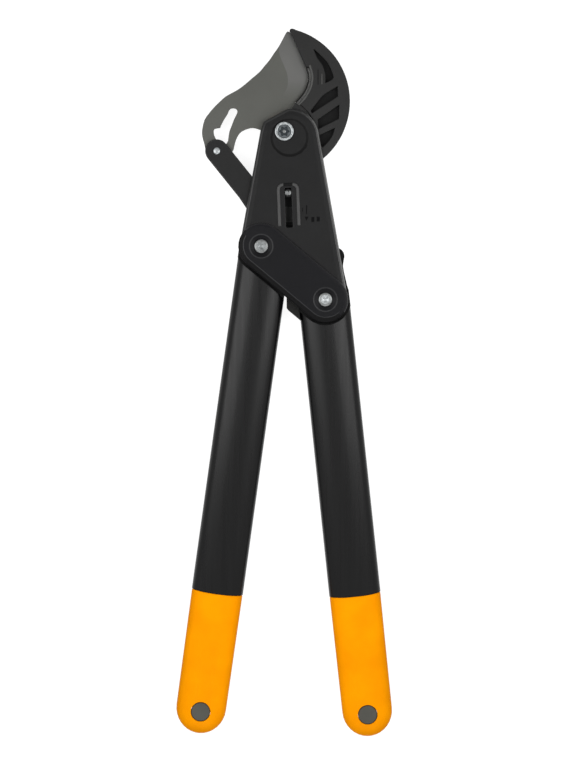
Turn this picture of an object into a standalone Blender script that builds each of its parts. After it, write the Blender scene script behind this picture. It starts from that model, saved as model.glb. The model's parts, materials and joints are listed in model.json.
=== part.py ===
import math

import bmesh
import bpy
from mathutils.geometry import tessellate_polygon

# An anvil lopper lying on its back, closed. Lengths are in millimetres and turned into metres when each
# mesh is made. Outlines are measured from the main pivot in the middle plane of the tool: x to the right,
# y towards the blade's tip, z towards the front. The scene's origin is halfway between the two lower bolts,
# on the flat back of the rear link plate.
MM = 0.001

# Pivots
LEFT_PIVOT = (-24.9, -123.9)
RIGHT_PIVOT = (44.3, -181.4)
ARM_PIVOT = (-22.3, -87.9)
ARM_PIN = (-72.9, -20.8)

# Stack of layers, from the middle plane outwards
CLEARANCE = 0.3
BLADE_THICKNESS = 4.0
ARM_THICKNESS = 3.7
HOOK_THICKNESS = 2.4
HOUSING_THICKNESS = 5.0
LINK_GAP = 0.3
LINK_THICKNESS = 3.7

# Bolts, pins and bushes
MAIN_SHANK_RADIUS = 5.0
MAIN_BUSH_WALL = 2.7
MAIN_HEAD_RADIUS = 10.2
MAIN_HEAD_HEIGHT = 3.1
MAIN_NUT_HEIGHT = 2.5
MAIN_SOCKET_RADIUS = 6.6
MAIN_SOCKET_DEPTH = 1.2
SIDE_SHANK_RADIUS = 4.8
SIDE_BUSH_WALL = 2.4
SIDE_HEAD_RADIUS = 7.6
SIDE_HEAD_RECESS = 0.6
HEAD_CHAMFER = 0.6
WASHER_RADIUS = 20.0
PIN_RADIUS = 2.5
PIN_HEAD_RADIUS = 3.8
PIN_HEAD_HEIGHT = 1.3
PIN_CHAMFER = 0.4
ARM_PIVOT_PIN_RADIUS = 3.0
DOWEL_RADIUS = 2.5
DOWEL_DEPTH = 3.0
NUT_SIDES = 6

# Housing plates
HOUSING_TOP_CENTRE = (6.2, -6.7)
HOUSING_TOP_RADIUS = 31.3
HOUSING_LEFT_RADIUS = 23.1
HOUSING_RIGHT_RADIUS = 24.2
HOUSING_LEFT_ANGLE = 169.7
HOUSING_RIGHT_ANGLE = 9.8
HOUSING_CORNER = ((-25.9, -0.2), (-22.1, 10.6))
HOUSING_CUT_ANGLE = 94.0
HOUSING_BAND_WIDTH = 7.1
HOUSING_BAND_DROP = 1.0
RECESS_CENTRE = (5.9, -6.7)
RECESS_RADIUS = 20.7
RECESS_DEPTH = 1.3

# Slot of the slider, with the rail that runs down both of its sides and over its top
SLOT_TOP = (3.9, -60.7)
SLOT_BOTTOM = (5.6, -103.9)
SLOT_WIDTH = 7.5
SLOT_CORNER = 1.2
RAIL_OFFSET = 10.4
RAIL_ABOVE = 3.4
RAIL_CORNER = 5.4
RAIL_WIDTH = 3.4
RAIL_HEIGHT = 1.0
RAIL_END_GAP = 2.0
SLIDER_SIDE_GAP = 0.4
SLIDER_LENGTH = 5.2
SLIDER_CORNER = 1.7
SLIDER_CHAMFER = 0.5
SLIDER_FROM_TOP = 5.6
SLIDER_BOTTOM_GAP = 1.53
SLIDER_FOOT_LIP = 0.85
SLIDER_STAND = 0.6

# Link plates
LINK_RADIUS = 24.8
LINK_BAND_WIDTH = 4.6
LINK_BAND_DROP = 1.1
DISH_WIDTH = 4.8
DISH_DEPTH = 1.2

# Push arms
ARM_HALF_WIDTH = 12.6
ARM_BEND = (-38.5, -63.7)
ARM_CHAMFER = 0.8

# Handles
LEFT_TUBE_ANGLE = 7.9
LEFT_TUBE_SHIFT = 4.2
LEFT_REACH = 529.8
RIGHT_TUBE_ANGLE = -6.0
RIGHT_TUBE_SHIFT = -1.4
RIGHT_REACH = 473.6
TUBE_HALF_WIDTH = 27.8
TUBE_HALF_DEPTH = 13.9
TUBE_WALL = 1.8
TUBE_NOTCH_GAP = 3.8
NECK_STEP = 3.2
NECK_LENGTH = 96.0
SECTION_POWER = 2.5
GRIP_LENGTH = 154.3
GRIP_SIDE_WALL = 2.6
GRIP_FACE_WALL = 4.0
GRIP_TAPER = 0.6
GRIP_END_LENGTH = 28.0
GRIP_END_ANGLE = 85.0
GRIP_HOLLOW_SPARE = 1.0
GRIP_SCOOP = 2.2
GRIP_LIP = 0.8
PLUG_RADIUS = 10.3
PLUG_FROM_END = 23.8
PLUG_RECESS = 1.4
PLUG_CHAMFER = 0.7

# Inserts. Shoulder points give the distance in from the side and the distance down the handle.
SPIGOT_LENGTH = 90.0
SPIGOT_LAP = 1.3
SPIGOT_CHAMFER = 2.0
LEVER_BOSS_RADIUS = 19.2
LEVER_BOSS_ANGLES = (-5.0, 190.0)
LEVER_RIGHT_SHOULDER = ((0.0, 16.0), (5.0, 6.0))
LEVER_LEFT_SHOULDER = 7.0
LEVER_ARM_RADIUS = 10.0
LEVER_ARM_ROOT_RADIUS = 16.0
HOOK_DROP = 1.7
HOOK_RADIUS = 10.6
HOOK_ROOT_RADIUS = 13.0
INSERT_LEFT_SHOULDER = ((0.4, -8.0), (3.2, -17.8), (10.4, -23.5))
INSERT_RIGHT_SHOULDER = ((3.4, -34.4), (3.0, -27.8), (1.1, -12.5), (0.0, -8.0))
LOBE_OFFSET = (11.0, 46.7)
LOBE_RADIUS = 9.6
LOBE_ANGLES = (150.0, -20.0)
INSERT_DOWEL_OFFSET = (11.0, 42.9)

# Stop bumper. Face points give the gap to the left tube's side and the distance down the left handle,
# back points the same for the right handle.
BUMPER_FACE = ((3.1, 38.6), (1.4, 42.4), (4.3, 62.0), (6.3, 64.1))
BUMPER_BACK = ((0.0, 19.5), (0.0, -6.0), (1.7, -17.4))
BUMPER_CHAMFER = 0.6
BUMPER_BULB_DEPTH = 7.2
BUMPER_BULB_DOWN = -6.5
BUMPER_BULB_RADIUS = 2.8
BUMPER_NECK_HALF_WIDTH = 1.5
BUMPER_BULB_MARGIN = 1.0

# Blade
BLADE_HUB_RADIUS = 25.9
BLADE_HUB_ANGLES = (23.0, -176.0)
EDGE_THICKNESS = 0.6
TAIL_BACK = (
    (-84.8, -21.8), (-86.4, -13.2), (-88.5, -5.6), (-88.8, 1.9), (-86.3, 12.7), (-82.0, 19.2),
    (-76.6, 25.7), (-70.1, 32.2), (-62.6, 38.7), (-50.8, 45.1), (-42.0, 51.6), (-34.5, 58.1),
    (-26.8, 64.6), (-21.4, 71.1), (-16.0, 77.5), (-11.7, 84.0), (-8.6, 88.3), (-5.6, 92.7),
)
BLADE_TIP = ((-1.1, 101.3), (1.7, 106.6), (3.3, 108.5))
EDGE_STRAIGHT = ((5.5, 107.8), (10.3, 98.1), (14.8, 88.3), (22.4, 70.0))
EDGE_CURVED = ((22.4, 70.0), (25.1, 60.3), (24.0, 50.5), (19.1, 40.8), (11.6, 32.2))
BLADE_HEEL = ((13.7, 26.8), (20.2, 20.3))
TAIL_INNER = ((-25.7, 1.9), (-33.8, 4.1), (-41.4, 2.5), (-47.8, -1.3), (-52.2, -8.9), (-54.9, -19.7))
TAIL_END = ((-60.8, -27.8), (-67.3, -31.0), (-73.8, -31.3), (-80.2, -28.8))
BEVEL_LINE = (
    (-5.1, 82.9), (-0.3, 72.1), (3.5, 60.3), (2.9, 47.3), (-6.8, 32.2), (-12.2, 23.5),
    (-17.6, 16.0), (-11.1, 13.0), (4.0, 15.5),
)
SLOT_LEFT = ((-60.0, 22.5), (-61.2, 19.2), (-65.3, 12.7), (-68.6, 6.3))
SLOT_STEP = ((-69.2, 4.1), (-75.4, 3.0), (-76.2, -0.8), (-75.4, -4.5), (-73.8, -7.8))
SLOT_LOWER = (
    (-75.4, -12.1), (-77.9, -18.6), (-77.8, -22.9), (-75.4, -25.7), (-72.1, -26.1), (-68.9, -24.5),
    (-67.3, -21.3), (-64.6, -16.4), (-60.8, -9.9),
)
SLOT_RIGHT = ((-60.2, -5.0), (-59.2, 0.6), (-57.0, 6.3), (-54.6, 12.7), (-51.4, 19.2))
SLOT_TOP_ROUND = ((-50.6, 21.8), (-51.6, 24.2), (-54.9, 25.4), (-58.1, 24.8))

# Anvil
STRIP_GAP = 0.4
STRIP_WIDTH = 3.2
STRIP_SIDE_INSET = 1.2
STRIP_CHAMFER = 0.4
ANVIL_CENTRE = (-9.0, 32.7)
ANVIL_RADIUS = 79.9
ANVIL_TIP_ANGLE = 74.0
ANVIL_FOOT_ANGLE = -50.8
ANVIL_TIP = ((10.2, 110.9), (7.9, 111.2), (6.3, 110.5), (5.7, 109.0))
ANVIL_SHANK = (
    (41.6, -43.4), (46.1, -73.7), (50.4, -101.7), (51.8, -117.9), (48.3, -122.8), (28.8, -122.8),
    (24.0, -117.9), (24.5, -89.9), (26.7, -62.9), (29.4, -35.9), (32.1, -17.5), (33.5, -6.7),
    (33.2, 4.1), (30.5, 12.7), (25.6, 20.6), (18.6, 27.6),
)
ANVIL_CHAMFER = 0.8
ANVIL_WEB = 3.0
CHEEK_RADIUS = 35.0
CHEEK_ANGLES = (-20.0, 55.0)
CHEEK_END = ((14.4, 29.4), (12.0, 31.2), (8.5, 25.5))
CHEEK_INNER_ANGLE = 70.0
ANVIL_DOWELS = ((39.6, -57.5), (38.6, -108.2))
# Each pocket is given by its sides, from corner to corner
POCKETS = (
    (
        ((31.2, 89.9), (38.4, 83.3), (45.6, 76.1), (50.4, 67.7)),
        ((53.4, 59.3), (51.8, 55.8)),
        ((44.1, 52.1), (44.1, 61.7), (40.8, 71.9), (35.4, 79.1)),
    ),
    (
        ((28.2, 22.4), (35.4, 31.7), (41.4, 38.9), (48.6, 43.7)),
        ((57.6, 49.1),),
        ((58.0, 37.7),),
        ((29.8, 19.4),),
    ),
    (((36.0, 13.1),), ((59.4, 29.3),), ((59.2, 13.7),), ((36.6, 2.3),)),
    (((37.2, -4.0),), ((54.6, 4.1), (52.9, -2.8), (48.4, -10.3)), ((41.6, -17.3),), ((38.2, -14.6),)),
)

# Mesh fineness, and how far cutting and joining solids reach past the faces that they meet
TURN_POINTS = 30
HIDDEN_POINTS = 20
DOWEL_POINTS = 16
SECTION_POINTS = 36
CORNER_POINTS = 4
ANVIL_ARC_POINTS = 32
GRIP_STEPS = 2
GRIP_END_STEPS = 8
CURVE_STEPS = 3
COARSE_STEPS = 2
ROUND_END = 0.97
MARGIN = 1.0
HIDDEN_STEP = 0.05
SHARP_ANGLE = math.radians(30)

# Sizes that follow from the ones above. Planes are distances from the middle plane.
MAIN_BUSH_RADIUS = MAIN_SHANK_RADIUS + CLEARANCE + MAIN_BUSH_WALL
SIDE_BUSH_RADIUS = SIDE_SHANK_RADIUS + CLEARANCE + SIDE_BUSH_WALL
HALF_BLADE = BLADE_THICKNESS / 2
ARM_INNER = HALF_BLADE + CLEARANCE
ARM_OUTER = ARM_INNER + ARM_THICKNESS
HOOK_INNER = ARM_OUTER + CLEARANCE
HALF_INSERT = HOOK_INNER + HOOK_THICKNESS
HALF_SPACE = HALF_INSERT + CLEARANCE
HOUSING_FACE = HALF_SPACE + HOUSING_THICKNESS
RECESS_FLOOR = HOUSING_FACE - RECESS_DEPTH
MAIN_HEAD_UNDER = RECESS_FLOOR + CLEARANCE
LINK_INNER = HOUSING_FACE + LINK_GAP
LINK_FACE = LINK_INNER + LINK_THICKNESS
ORIGIN = ((LEFT_PIVOT[0] + RIGHT_PIVOT[0]) / 2, (LEFT_PIVOT[1] + RIGHT_PIVOT[1]) / 2)
SLOT_LENGTH = math.hypot(SLOT_BOTTOM[0] - SLOT_TOP[0], SLOT_BOTTOM[1] - SLOT_TOP[1])
SLIDER_HALF_WIDTH = SLOT_WIDTH / 2 - SLIDER_SIDE_GAP
SLIDER_FOOT_RADIUS = SLOT_WIDTH / 2 + SLIDER_FOOT_LIP
SLIDER_LOWEST = SLOT_LENGTH - SLIDER_BOTTOM_GAP - SLIDER_LENGTH / 2
INSERT_DOWEL = (RIGHT_PIVOT[0] + INSERT_DOWEL_OFFSET[0], RIGHT_PIVOT[1] + INSERT_DOWEL_OFFSET[1])
TUBE_NOTCH_RADIUS = max(HOUSING_LEFT_RADIUS, HOUSING_RIGHT_RADIUS) + TUBE_NOTCH_GAP
INSERT_RADIUS = TUBE_NOTCH_RADIUS - CLEARANCE
INSERT_HALF_WIDTH = TUBE_HALF_WIDTH - CLEARANCE
SPIGOT_HALF_WIDTH = TUBE_HALF_WIDTH - TUBE_WALL - CLEARANCE
SPIGOT_HALF_DEPTH = TUBE_HALF_DEPTH - TUBE_WALL - CLEARANCE
NECK_HALF_WIDTH = TUBE_HALF_WIDTH - NECK_STEP
NECK_HALF_DEPTH = TUBE_HALF_DEPTH - NECK_STEP
GRIP_HALF_WIDTH = NECK_HALF_WIDTH + CLEARANCE + GRIP_SIDE_WALL
GRIP_HALF_DEPTH = NECK_HALF_DEPTH + CLEARANCE + GRIP_FACE_WALL
LEFT_HANDLE = (LEFT_PIVOT, LEFT_TUBE_ANGLE, LEFT_TUBE_SHIFT, LEFT_REACH)
RIGHT_HANDLE = (RIGHT_PIVOT, RIGHT_TUBE_ANGLE, RIGHT_TUBE_SHIFT, RIGHT_REACH)


def clear_scene():
    for thing in list(bpy.data.objects):
        bpy.data.objects.remove(thing, do_unlink=True)


def make_material(name, colour, roughness, metallic):
    material = bpy.data.materials.new(name)
    material.use_nodes = True
    shader = material.node_tree.nodes["Principled BSDF"]
    shader.inputs["Base Color"].default_value = (*colour, 1.0)
    shader.inputs["Roughness"].default_value = roughness
    shader.inputs["Metallic"].default_value = metallic
    material.diffuse_color = (*colour, 1.0)
    return material


# Plane geometry

def arc(centre, radius, start, end, points):
    """Points on a circle from one angle to another, in degrees, both ends included."""
    found = []
    for k in range(points + 1):
        angle = math.radians(start + (end - start) * k / points)
        found.append((centre[0] + radius * math.cos(angle), centre[1] + radius * math.sin(angle)))
    return found


def circle(centre, radius, points=TURN_POINTS):
    return arc(centre, radius, 0, 360 - 360 / points, points - 1)


def spline_value(before, start, end, after, t):
    slope = (end - before) * t
    bend = (2 * before - 5 * start + 4 * end - after) * t * t
    twist = (3 * start - before - 3 * end + after) * t * t * t
    return start + (slope + bend + twist) / 2


def curve(points, steps=CURVE_STEPS):
    """A smooth curve through the points, both ends included."""
    found = []
    last = len(points) - 1
    for k in range(last):
        before = points[max(k - 1, 0)]
        start = points[k]
        end = points[k + 1]
        after = points[min(k + 2, last)]
        for step in range(steps):
            t = step / steps
            found.append(tuple(spline_value(before[i], start[i], end[i], after[i], t) for i in (0, 1)))
    found.append(tuple(points[last]))
    return found


def outline_of_sides(sides, steps):
    """An outline with a corner where one side ends and the next starts. Sides of more points are smooth."""
    found = []
    for k, side in enumerate(sides):
        after = sides[(k + 1) % len(sides)]
        if len(side) == 1:
            found += side
        else:
            found += curve((*side, after[0]), steps)[:-1]
    return found


def area(loop):
    total = 0
    for here, after in zip(loop, loop[1:] + loop[:1]):
        total += here[0] * after[1] - after[0] * here[1]
    return total / 2


def turned(loop, anticlockwise):
    if (area(loop) > 0) == anticlockwise:
        return list(loop)
    return list(reversed(loop))


def edge_normal(here, after):
    """The unit vector to the left of the way from here to after."""
    x = after[0] - here[0]
    y = after[1] - here[1]
    length = math.hypot(x, y)
    return (-y / length, x / length)


def moved_corner(point, first, second, distance):
    """A corner between two edges, moved to where both edges lie further to their left."""
    scale = distance / (1 + first[0] * second[0] + first[1] * second[1])
    return (point[0] + (first[0] + second[0]) * scale, point[1] + (first[1] + second[1]) * scale)


def inset(loop, distance):
    """Moves each edge of a closed loop to its left by the distance."""
    if distance == 0:
        return list(loop)
    found = []
    for k, point in enumerate(loop):
        first = edge_normal(loop[k - 1], point)
        second = edge_normal(point, loop[(k + 1) % len(loop)])
        found.append(moved_corner(point, first, second, distance))
    return found


def shifted_curve(points, distance):
    """Moves an open curve to its left by the distance."""
    found = []
    last = len(points) - 1
    for k, point in enumerate(points):
        first = edge_normal(points[max(k - 1, 0)], points[max(k, 1)])
        second = edge_normal(points[min(k, last - 1)], points[min(k + 1, last)])
        found.append(moved_corner(point, first, second, distance))
    return found


def hull(first, first_radius, second, second_radius):
    """The outline of two circles with their outer tangents."""
    x = second[0] - first[0]
    y = second[1] - first[1]
    way = math.degrees(math.atan2(y, x))
    spread = math.degrees(math.acos((first_radius - second_radius) / math.hypot(x, y)))
    half = TURN_POINTS // 2
    left = arc(first, first_radius, way + spread, way + 360 - spread, half)
    right = arc(second, second_radius, way - spread, way + spread, half)
    return left + right


def bent_bar(points, half_width):
    """The outline of a bar of one width through three points, with round ends."""
    start, bend, end = points
    first = edge_normal(start, bend)
    second = edge_normal(bend, end)
    start_angle = math.degrees(math.atan2(first[1], first[0]))
    end_angle = math.degrees(math.atan2(second[1], second[0]))
    half = TURN_POINTS // 2
    outline = arc(start, half_width, start_angle, start_angle + 180, half)
    outline += [moved_corner(bend, first, second, -half_width)]
    outline += arc(end, half_width, end_angle - 180, end_angle, half)
    outline += [moved_corner(bend, first, second, half_width)]
    return outline


def along(pivot, angle, across, down):
    """A point given by its distances across and down a handle that hangs from a pivot."""
    turn = math.radians(angle)
    x = pivot[0] + across * math.cos(turn) - down * math.sin(turn)
    y = pivot[1] - across * math.sin(turn) - down * math.cos(turn)
    return (x, y)


def angle_from(centre, point):
    return math.degrees(math.atan2(point[1] - centre[1], point[0] - centre[0]))


def lower_angle():
    """The angle that points from the line between the lower bolts towards the handles."""
    x = RIGHT_PIVOT[0] - LEFT_PIVOT[0]
    y = RIGHT_PIVOT[1] - LEFT_PIVOT[1]
    return math.degrees(math.atan2(-x, y))


def reach_of_line(angle, across, distance):
    """How far down a handle its line, at this distance across, meets the line of the notch."""
    normal = math.radians(lower_angle())
    x, y = along((0, 0), angle, across, 0)
    start = x * math.cos(normal) + y * math.sin(normal)
    x, y = along((0, 0), angle, 0, 1)
    rate = x * math.cos(normal) + y * math.sin(normal)
    return (distance - start) / rate


# Solids, as lists of points and faces

def loop_levels(loop, bottom, top, edge):
    bottom_inset, bottom_drop, top_inset, top_drop = edge
    levels = [(inset(loop, bottom_inset), bottom)]
    if bottom_inset:
        levels.append((loop, bottom + bottom_drop))
    if top_inset:
        levels.append((loop, top - top_drop))
    levels.append((inset(loop, top_inset), top))
    return levels


def plate(outer, holes, bottom, top, edge=(0, 0, 0, 0), hole_edge=(0, 0, 0, 0)):
    """A flat solid between two heights, with chamfers given as inset and drop at the bottom and at the top."""
    points = []
    faces = []
    bottom_loops = []
    top_loops = []
    loops = [(turned(outer, True), edge)]
    loops += [(turned(hole, False), hole_edge) for hole in holes]
    for loop, chamfer in loops:
        levels = loop_levels(loop, bottom, top, chamfer)
        count = len(loop)
        start = len(points)
        for level, height in levels:
            points += [(x, y, height) for x, y in level]
        for row in range(len(levels) - 1):
            low = start + row * count
            for k in range(count):
                after = (k + 1) % count
                faces.append((low + k, low + after, low + count + after, low + count + k))
        bottom_loops.append(range(start, start + count))
        top_loops.append(range(start + (len(levels) - 1) * count, start + len(levels) * count))
    faces += cap(points, bottom_loops)
    faces += cap(points, top_loops)
    return points, faces


def cap(points, loops):
    """Triangles that fill the first loop and leave the others open."""
    order = [index for loop in loops for index in loop]
    polygons = [[points[index] for index in loop] for loop in loops]
    flat = [[(x, y, 0) for x, y, _ in polygon] for polygon in polygons]
    return [tuple(order[corner] for corner in triangle) for triangle in tessellate_polygon(flat)]


def loft(rings, closed):
    """Joins rings of equal size. The ends are capped, or the last ring joins the first when closed."""
    points = [point for ring in rings for point in ring]
    count = len(rings[0])
    faces = []
    rows = len(rings) if closed else len(rings) - 1
    for row in range(rows):
        low = row * count
        high = (row + 1) % len(rings) * count
        for k in range(count):
            after = (k + 1) % count
            faces.append((low + k, low + after, high + after, high + k))
    if not closed:
        faces.append(tuple(range(count)))
        faces.append(tuple(range(len(points) - count, len(points))))
    return points, faces


def turned_solid(centre, profile, points=TURN_POINTS):
    """A solid of revolution about a z axis. The profile gives radius and height, from end to end."""
    rings = []
    for radius, height in profile:
        rings.append([(x, y, height) for x, y in circle(centre, radius, points)])
    return loft(rings, False)


def facing(solid, front):
    """The solid as it is at the front, or mirrored to the back."""
    points, faces = solid
    if front:
        return points, faces
    return [(x, y, -z) for x, y, z in points], faces


# Objects

def add_object(name, solid, pivot, material):
    """Makes an object whose origin is on the pivot's axis, in the middle plane."""
    points, faces = solid
    mesh = bpy.data.meshes.new(name)
    local = [((x - pivot[0]) * MM, (y - pivot[1]) * MM, z * MM) for x, y, z in points]
    mesh.from_pydata(local, [], faces)
    working = bmesh.new()
    working.from_mesh(mesh)
    bmesh.ops.recalc_face_normals(working, faces=working.faces)
    working.to_mesh(mesh)
    working.free()
    item = bpy.data.objects.new(name, mesh)
    item.location = ((pivot[0] - ORIGIN[0]) * MM, (pivot[1] - ORIGIN[1]) * MM, LINK_FACE * MM)
    bpy.context.scene.collection.objects.link(item)
    if material:
        mesh.materials.append(material)
    return item


def combine_objects(item, tool, operation):
    """Applies a Boolean with another object, which is used up."""
    change = item.modifiers.new("combine", "BOOLEAN")
    change.operation = operation
    change.solver = "EXACT"
    change.object = tool
    bpy.context.view_layer.update()
    graph = bpy.context.evaluated_depsgraph_get()
    result = bpy.data.meshes.new_from_object(item.evaluated_get(graph))
    item.modifiers.clear()
    old = item.data
    item.data = result
    result.name = item.name
    bpy.data.meshes.remove(old)
    tool_mesh = tool.data
    bpy.data.objects.remove(tool, do_unlink=True)
    bpy.data.meshes.remove(tool_mesh)


def combine(item, solid, pivot, operation):
    """Cuts a solid from an object, or adds it."""
    combine_objects(item, add_object("tool", solid, pivot, None), operation)


def drill(item, pivot, centre, radius, half_depth, points=TURN_POINTS):
    """Cuts a round hole through an object, as deep on both sides of the middle plane."""
    reach = half_depth + MARGIN
    combine(item, plate(circle(centre, radius, points), [], -reach, reach), pivot, "DIFFERENCE")


def finish(item):
    item.data.shade_smooth()
    item.data.set_sharp_from_angle(angle=SHARP_ANGLE)
    return item


# Housing

def housing_outline():
    half = TURN_POINTS // 2
    lower = lower_angle()
    outline = arc(HOUSING_TOP_CENTRE, HOUSING_TOP_RADIUS, HOUSING_CUT_ANGLE, HOUSING_RIGHT_ANGLE, half)
    outline += arc(RIGHT_PIVOT, HOUSING_RIGHT_RADIUS, HOUSING_RIGHT_ANGLE, lower, half)
    outline += arc(LEFT_PIVOT, HOUSING_LEFT_RADIUS, lower, HOUSING_LEFT_ANGLE - 360, half)
    outline += list(HOUSING_CORNER)
    return outline


def point_on_slot(across, down):
    """A point given by its distances right of the slot's middle line and down from the slot's top."""
    x = (SLOT_BOTTOM[0] - SLOT_TOP[0]) / SLOT_LENGTH
    y = (SLOT_BOTTOM[1] - SLOT_TOP[1]) / SLOT_LENGTH
    return (SLOT_TOP[0] - across * y + down * x, SLOT_TOP[1] + across * x + down * y)


def box_on_slot(side, half_width, start, end, corner):
    """A rounded box beside the slot's line: side is to the right, start and end are measured down it."""
    outline = []
    corners = (
        (side - half_width + corner, start + corner, 180, 90),
        (side + half_width - corner, start + corner, 90, 0),
        (side + half_width - corner, end - corner, 0, -90),
        (side - half_width + corner, end - corner, -90, -180),
    )
    for across, down, first, last in corners:
        for x, y in arc((across, -down), corner, first, last, CORNER_POINTS):
            outline.append(point_on_slot(x, -y))
    return outline


def make_housing(name, front, material):
    side_bore = SIDE_SHANK_RADIUS + CLEARANCE
    holes = [
        circle((0, 0), MAIN_SHANK_RADIUS + CLEARANCE),
        circle(LEFT_PIVOT, side_bore),
        circle(RIGHT_PIVOT, side_bore),
    ]
    if front:
        holes.append(box_on_slot(0, SLOT_WIDTH / 2, 0, SLOT_LENGTH, SLOT_CORNER))
    edge = (0, 0, HOUSING_BAND_WIDTH, HOUSING_BAND_DROP)
    solid = plate(housing_outline(), holes, HALF_SPACE, HOUSING_FACE, edge)
    item = add_object(name, facing(solid, front), (0, 0), material)
    recess = plate(circle(RECESS_CENTRE, RECESS_RADIUS), [], RECESS_FLOOR, HOUSING_FACE + MARGIN)
    combine(item, facing(recess, front), (0, 0), "DIFFERENCE")
    bore = DOWEL_RADIUS + CLEARANCE
    bore_end = HALF_SPACE + DOWEL_DEPTH + CLEARANCE
    for centre in (*ANVIL_DOWELS, INSERT_DOWEL):
        socket = plate(circle(centre, bore, DOWEL_POINTS), [], HALF_SPACE - MARGIN, bore_end)
        combine(item, facing(socket, front), (0, 0), "DIFFERENCE")
    if front:
        add_rail(item)
    return finish(item)


def rail_side(outwards):
    """One side of the rail, up the slot's left, over its top and down its right."""
    half_width = RAIL_OFFSET + outwards
    top = -RAIL_ABOVE - outwards
    corner = RAIL_CORNER + outwards
    end = SLOT_LENGTH - RAIL_END_GAP
    points = [point_on_slot(-half_width, end)]
    for across, first, last in ((corner - half_width, 180, 90), (half_width - corner, 90, 0)):
        for x, y in arc((across, -top - corner), corner, first, last, CORNER_POINTS):
            points.append(point_on_slot(x, -y))
    points.append(point_on_slot(half_width, end))
    return points


def add_rail(item):
    half_width = RAIL_WIDTH / 2
    outline = rail_side(half_width) + list(reversed(rail_side(-half_width)))
    edge = (0, 0, half_width / 2, RAIL_HEIGHT / 2)
    rail = plate(outline, [], HOUSING_FACE - MARGIN, HOUSING_FACE + RAIL_HEIGHT, edge)
    combine(item, rail, (0, 0), "UNION")


def make_slider(material):
    centre = point_on_slot(0, SLIDER_FROM_TOP)
    start = SLIDER_FROM_TOP - SLIDER_LENGTH / 2
    end = SLIDER_FROM_TOP + SLIDER_LENGTH / 2
    foot = plate(circle(centre, SLIDER_FOOT_RADIUS, HIDDEN_POINTS), [], HOOK_INNER, HALF_INSERT)
    outline = box_on_slot(0, SLIDER_HALF_WIDTH, start, end, SLIDER_CORNER)
    edge = (0, 0, SLIDER_CHAMFER, SLIDER_CHAMFER)
    stem = plate(outline, [], HALF_INSERT - MARGIN, HOUSING_FACE + SLIDER_STAND, edge)
    item = add_object("slider", foot, centre, material)
    combine(item, stem, centre, "UNION")
    return finish(item)


# Link plates

def make_link_plate(name, front, material):
    outline = hull(LEFT_PIVOT, LINK_RADIUS, RIGHT_PIVOT, LINK_RADIUS)
    bore = SIDE_HEAD_RADIUS + CLEARANCE
    holes = [circle(LEFT_PIVOT, bore), circle(RIGHT_PIVOT, bore)]
    edge = (0, 0, LINK_BAND_WIDTH, LINK_BAND_DROP)
    hole_edge = (0, 0, DISH_WIDTH, DISH_DEPTH)
    solid = plate(outline, holes, LINK_INNER, LINK_FACE, edge, hole_edge)
    return finish(add_object(name, facing(solid, front), (0, 0), material))


# Bolts, nuts, bushes, washers and dowels

def make_main_bolt(material):
    top = MAIN_HEAD_UNDER + MAIN_HEAD_HEIGHT
    end = -MAIN_HEAD_UNDER - MAIN_NUT_HEIGHT
    profile = [
        (MAIN_SHANK_RADIUS - HEAD_CHAMFER, end),
        (MAIN_SHANK_RADIUS, end + HEAD_CHAMFER),
        (MAIN_SHANK_RADIUS, MAIN_HEAD_UNDER),
        (MAIN_HEAD_RADIUS, MAIN_HEAD_UNDER),
        (MAIN_HEAD_RADIUS, top - HEAD_CHAMFER),
        (MAIN_HEAD_RADIUS - HEAD_CHAMFER, top),
        (MAIN_SOCKET_RADIUS, top),
        (MAIN_SOCKET_RADIUS - HEAD_CHAMFER, top - MAIN_SOCKET_DEPTH),
    ]
    return finish(add_object("main_bolt", turned_solid((0, 0), profile), (0, 0), material))


def make_main_nut(material):
    edge = (HEAD_CHAMFER, HEAD_CHAMFER, 0, 0)
    bore = circle((0, 0), MAIN_SHANK_RADIUS + CLEARANCE)
    outline = circle((0, 0), MAIN_HEAD_RADIUS, NUT_SIDES)
    solid = plate(outline, [bore], -MAIN_HEAD_UNDER - MAIN_NUT_HEIGHT, -MAIN_HEAD_UNDER, edge)
    return finish(add_object("main_nut", solid, (0, 0), material))


def make_side_bolt(name, pivot, material):
    top = LINK_FACE - SIDE_HEAD_RECESS
    end = -LINK_FACE + SIDE_HEAD_RECESS
    profile = [
        (SIDE_SHANK_RADIUS - HEAD_CHAMFER, end + HEAD_CHAMFER),
        (SIDE_SHANK_RADIUS, end + 2 * HEAD_CHAMFER),
        (SIDE_SHANK_RADIUS, LINK_INNER),
        (SIDE_HEAD_RADIUS, LINK_INNER),
        (SIDE_HEAD_RADIUS, top - HEAD_CHAMFER),
        (SIDE_HEAD_RADIUS - HEAD_CHAMFER, top),
    ]
    return finish(add_object(name, turned_solid(pivot, profile), pivot, material))


def make_side_nut(name, pivot, material):
    edge = (HEAD_CHAMFER, HEAD_CHAMFER, 0, 0)
    bore = circle(pivot, SIDE_SHANK_RADIUS + CLEARANCE)
    bottom = -LINK_FACE + SIDE_HEAD_RECESS
    solid = plate(circle(pivot, SIDE_HEAD_RADIUS), [bore], bottom, -LINK_INNER, edge)
    return finish(add_object(name, solid, pivot, material))


def make_bush(name, pivot, outer, inner, material):
    bore = circle(pivot, inner, HIDDEN_POINTS)
    solid = plate(circle(pivot, outer, HIDDEN_POINTS), [bore], -HALF_INSERT, HALF_INSERT)
    return finish(add_object(name, solid, pivot, material))


def make_washer(name, front, material):
    bore = circle((0, 0), MAIN_BUSH_RADIUS + CLEARANCE, HIDDEN_POINTS)
    solid = plate(circle((0, 0), WASHER_RADIUS, HIDDEN_POINTS), [bore], ARM_INNER, HALF_INSERT)
    return finish(add_object(name, facing(solid, front), (0, 0), material))


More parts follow.
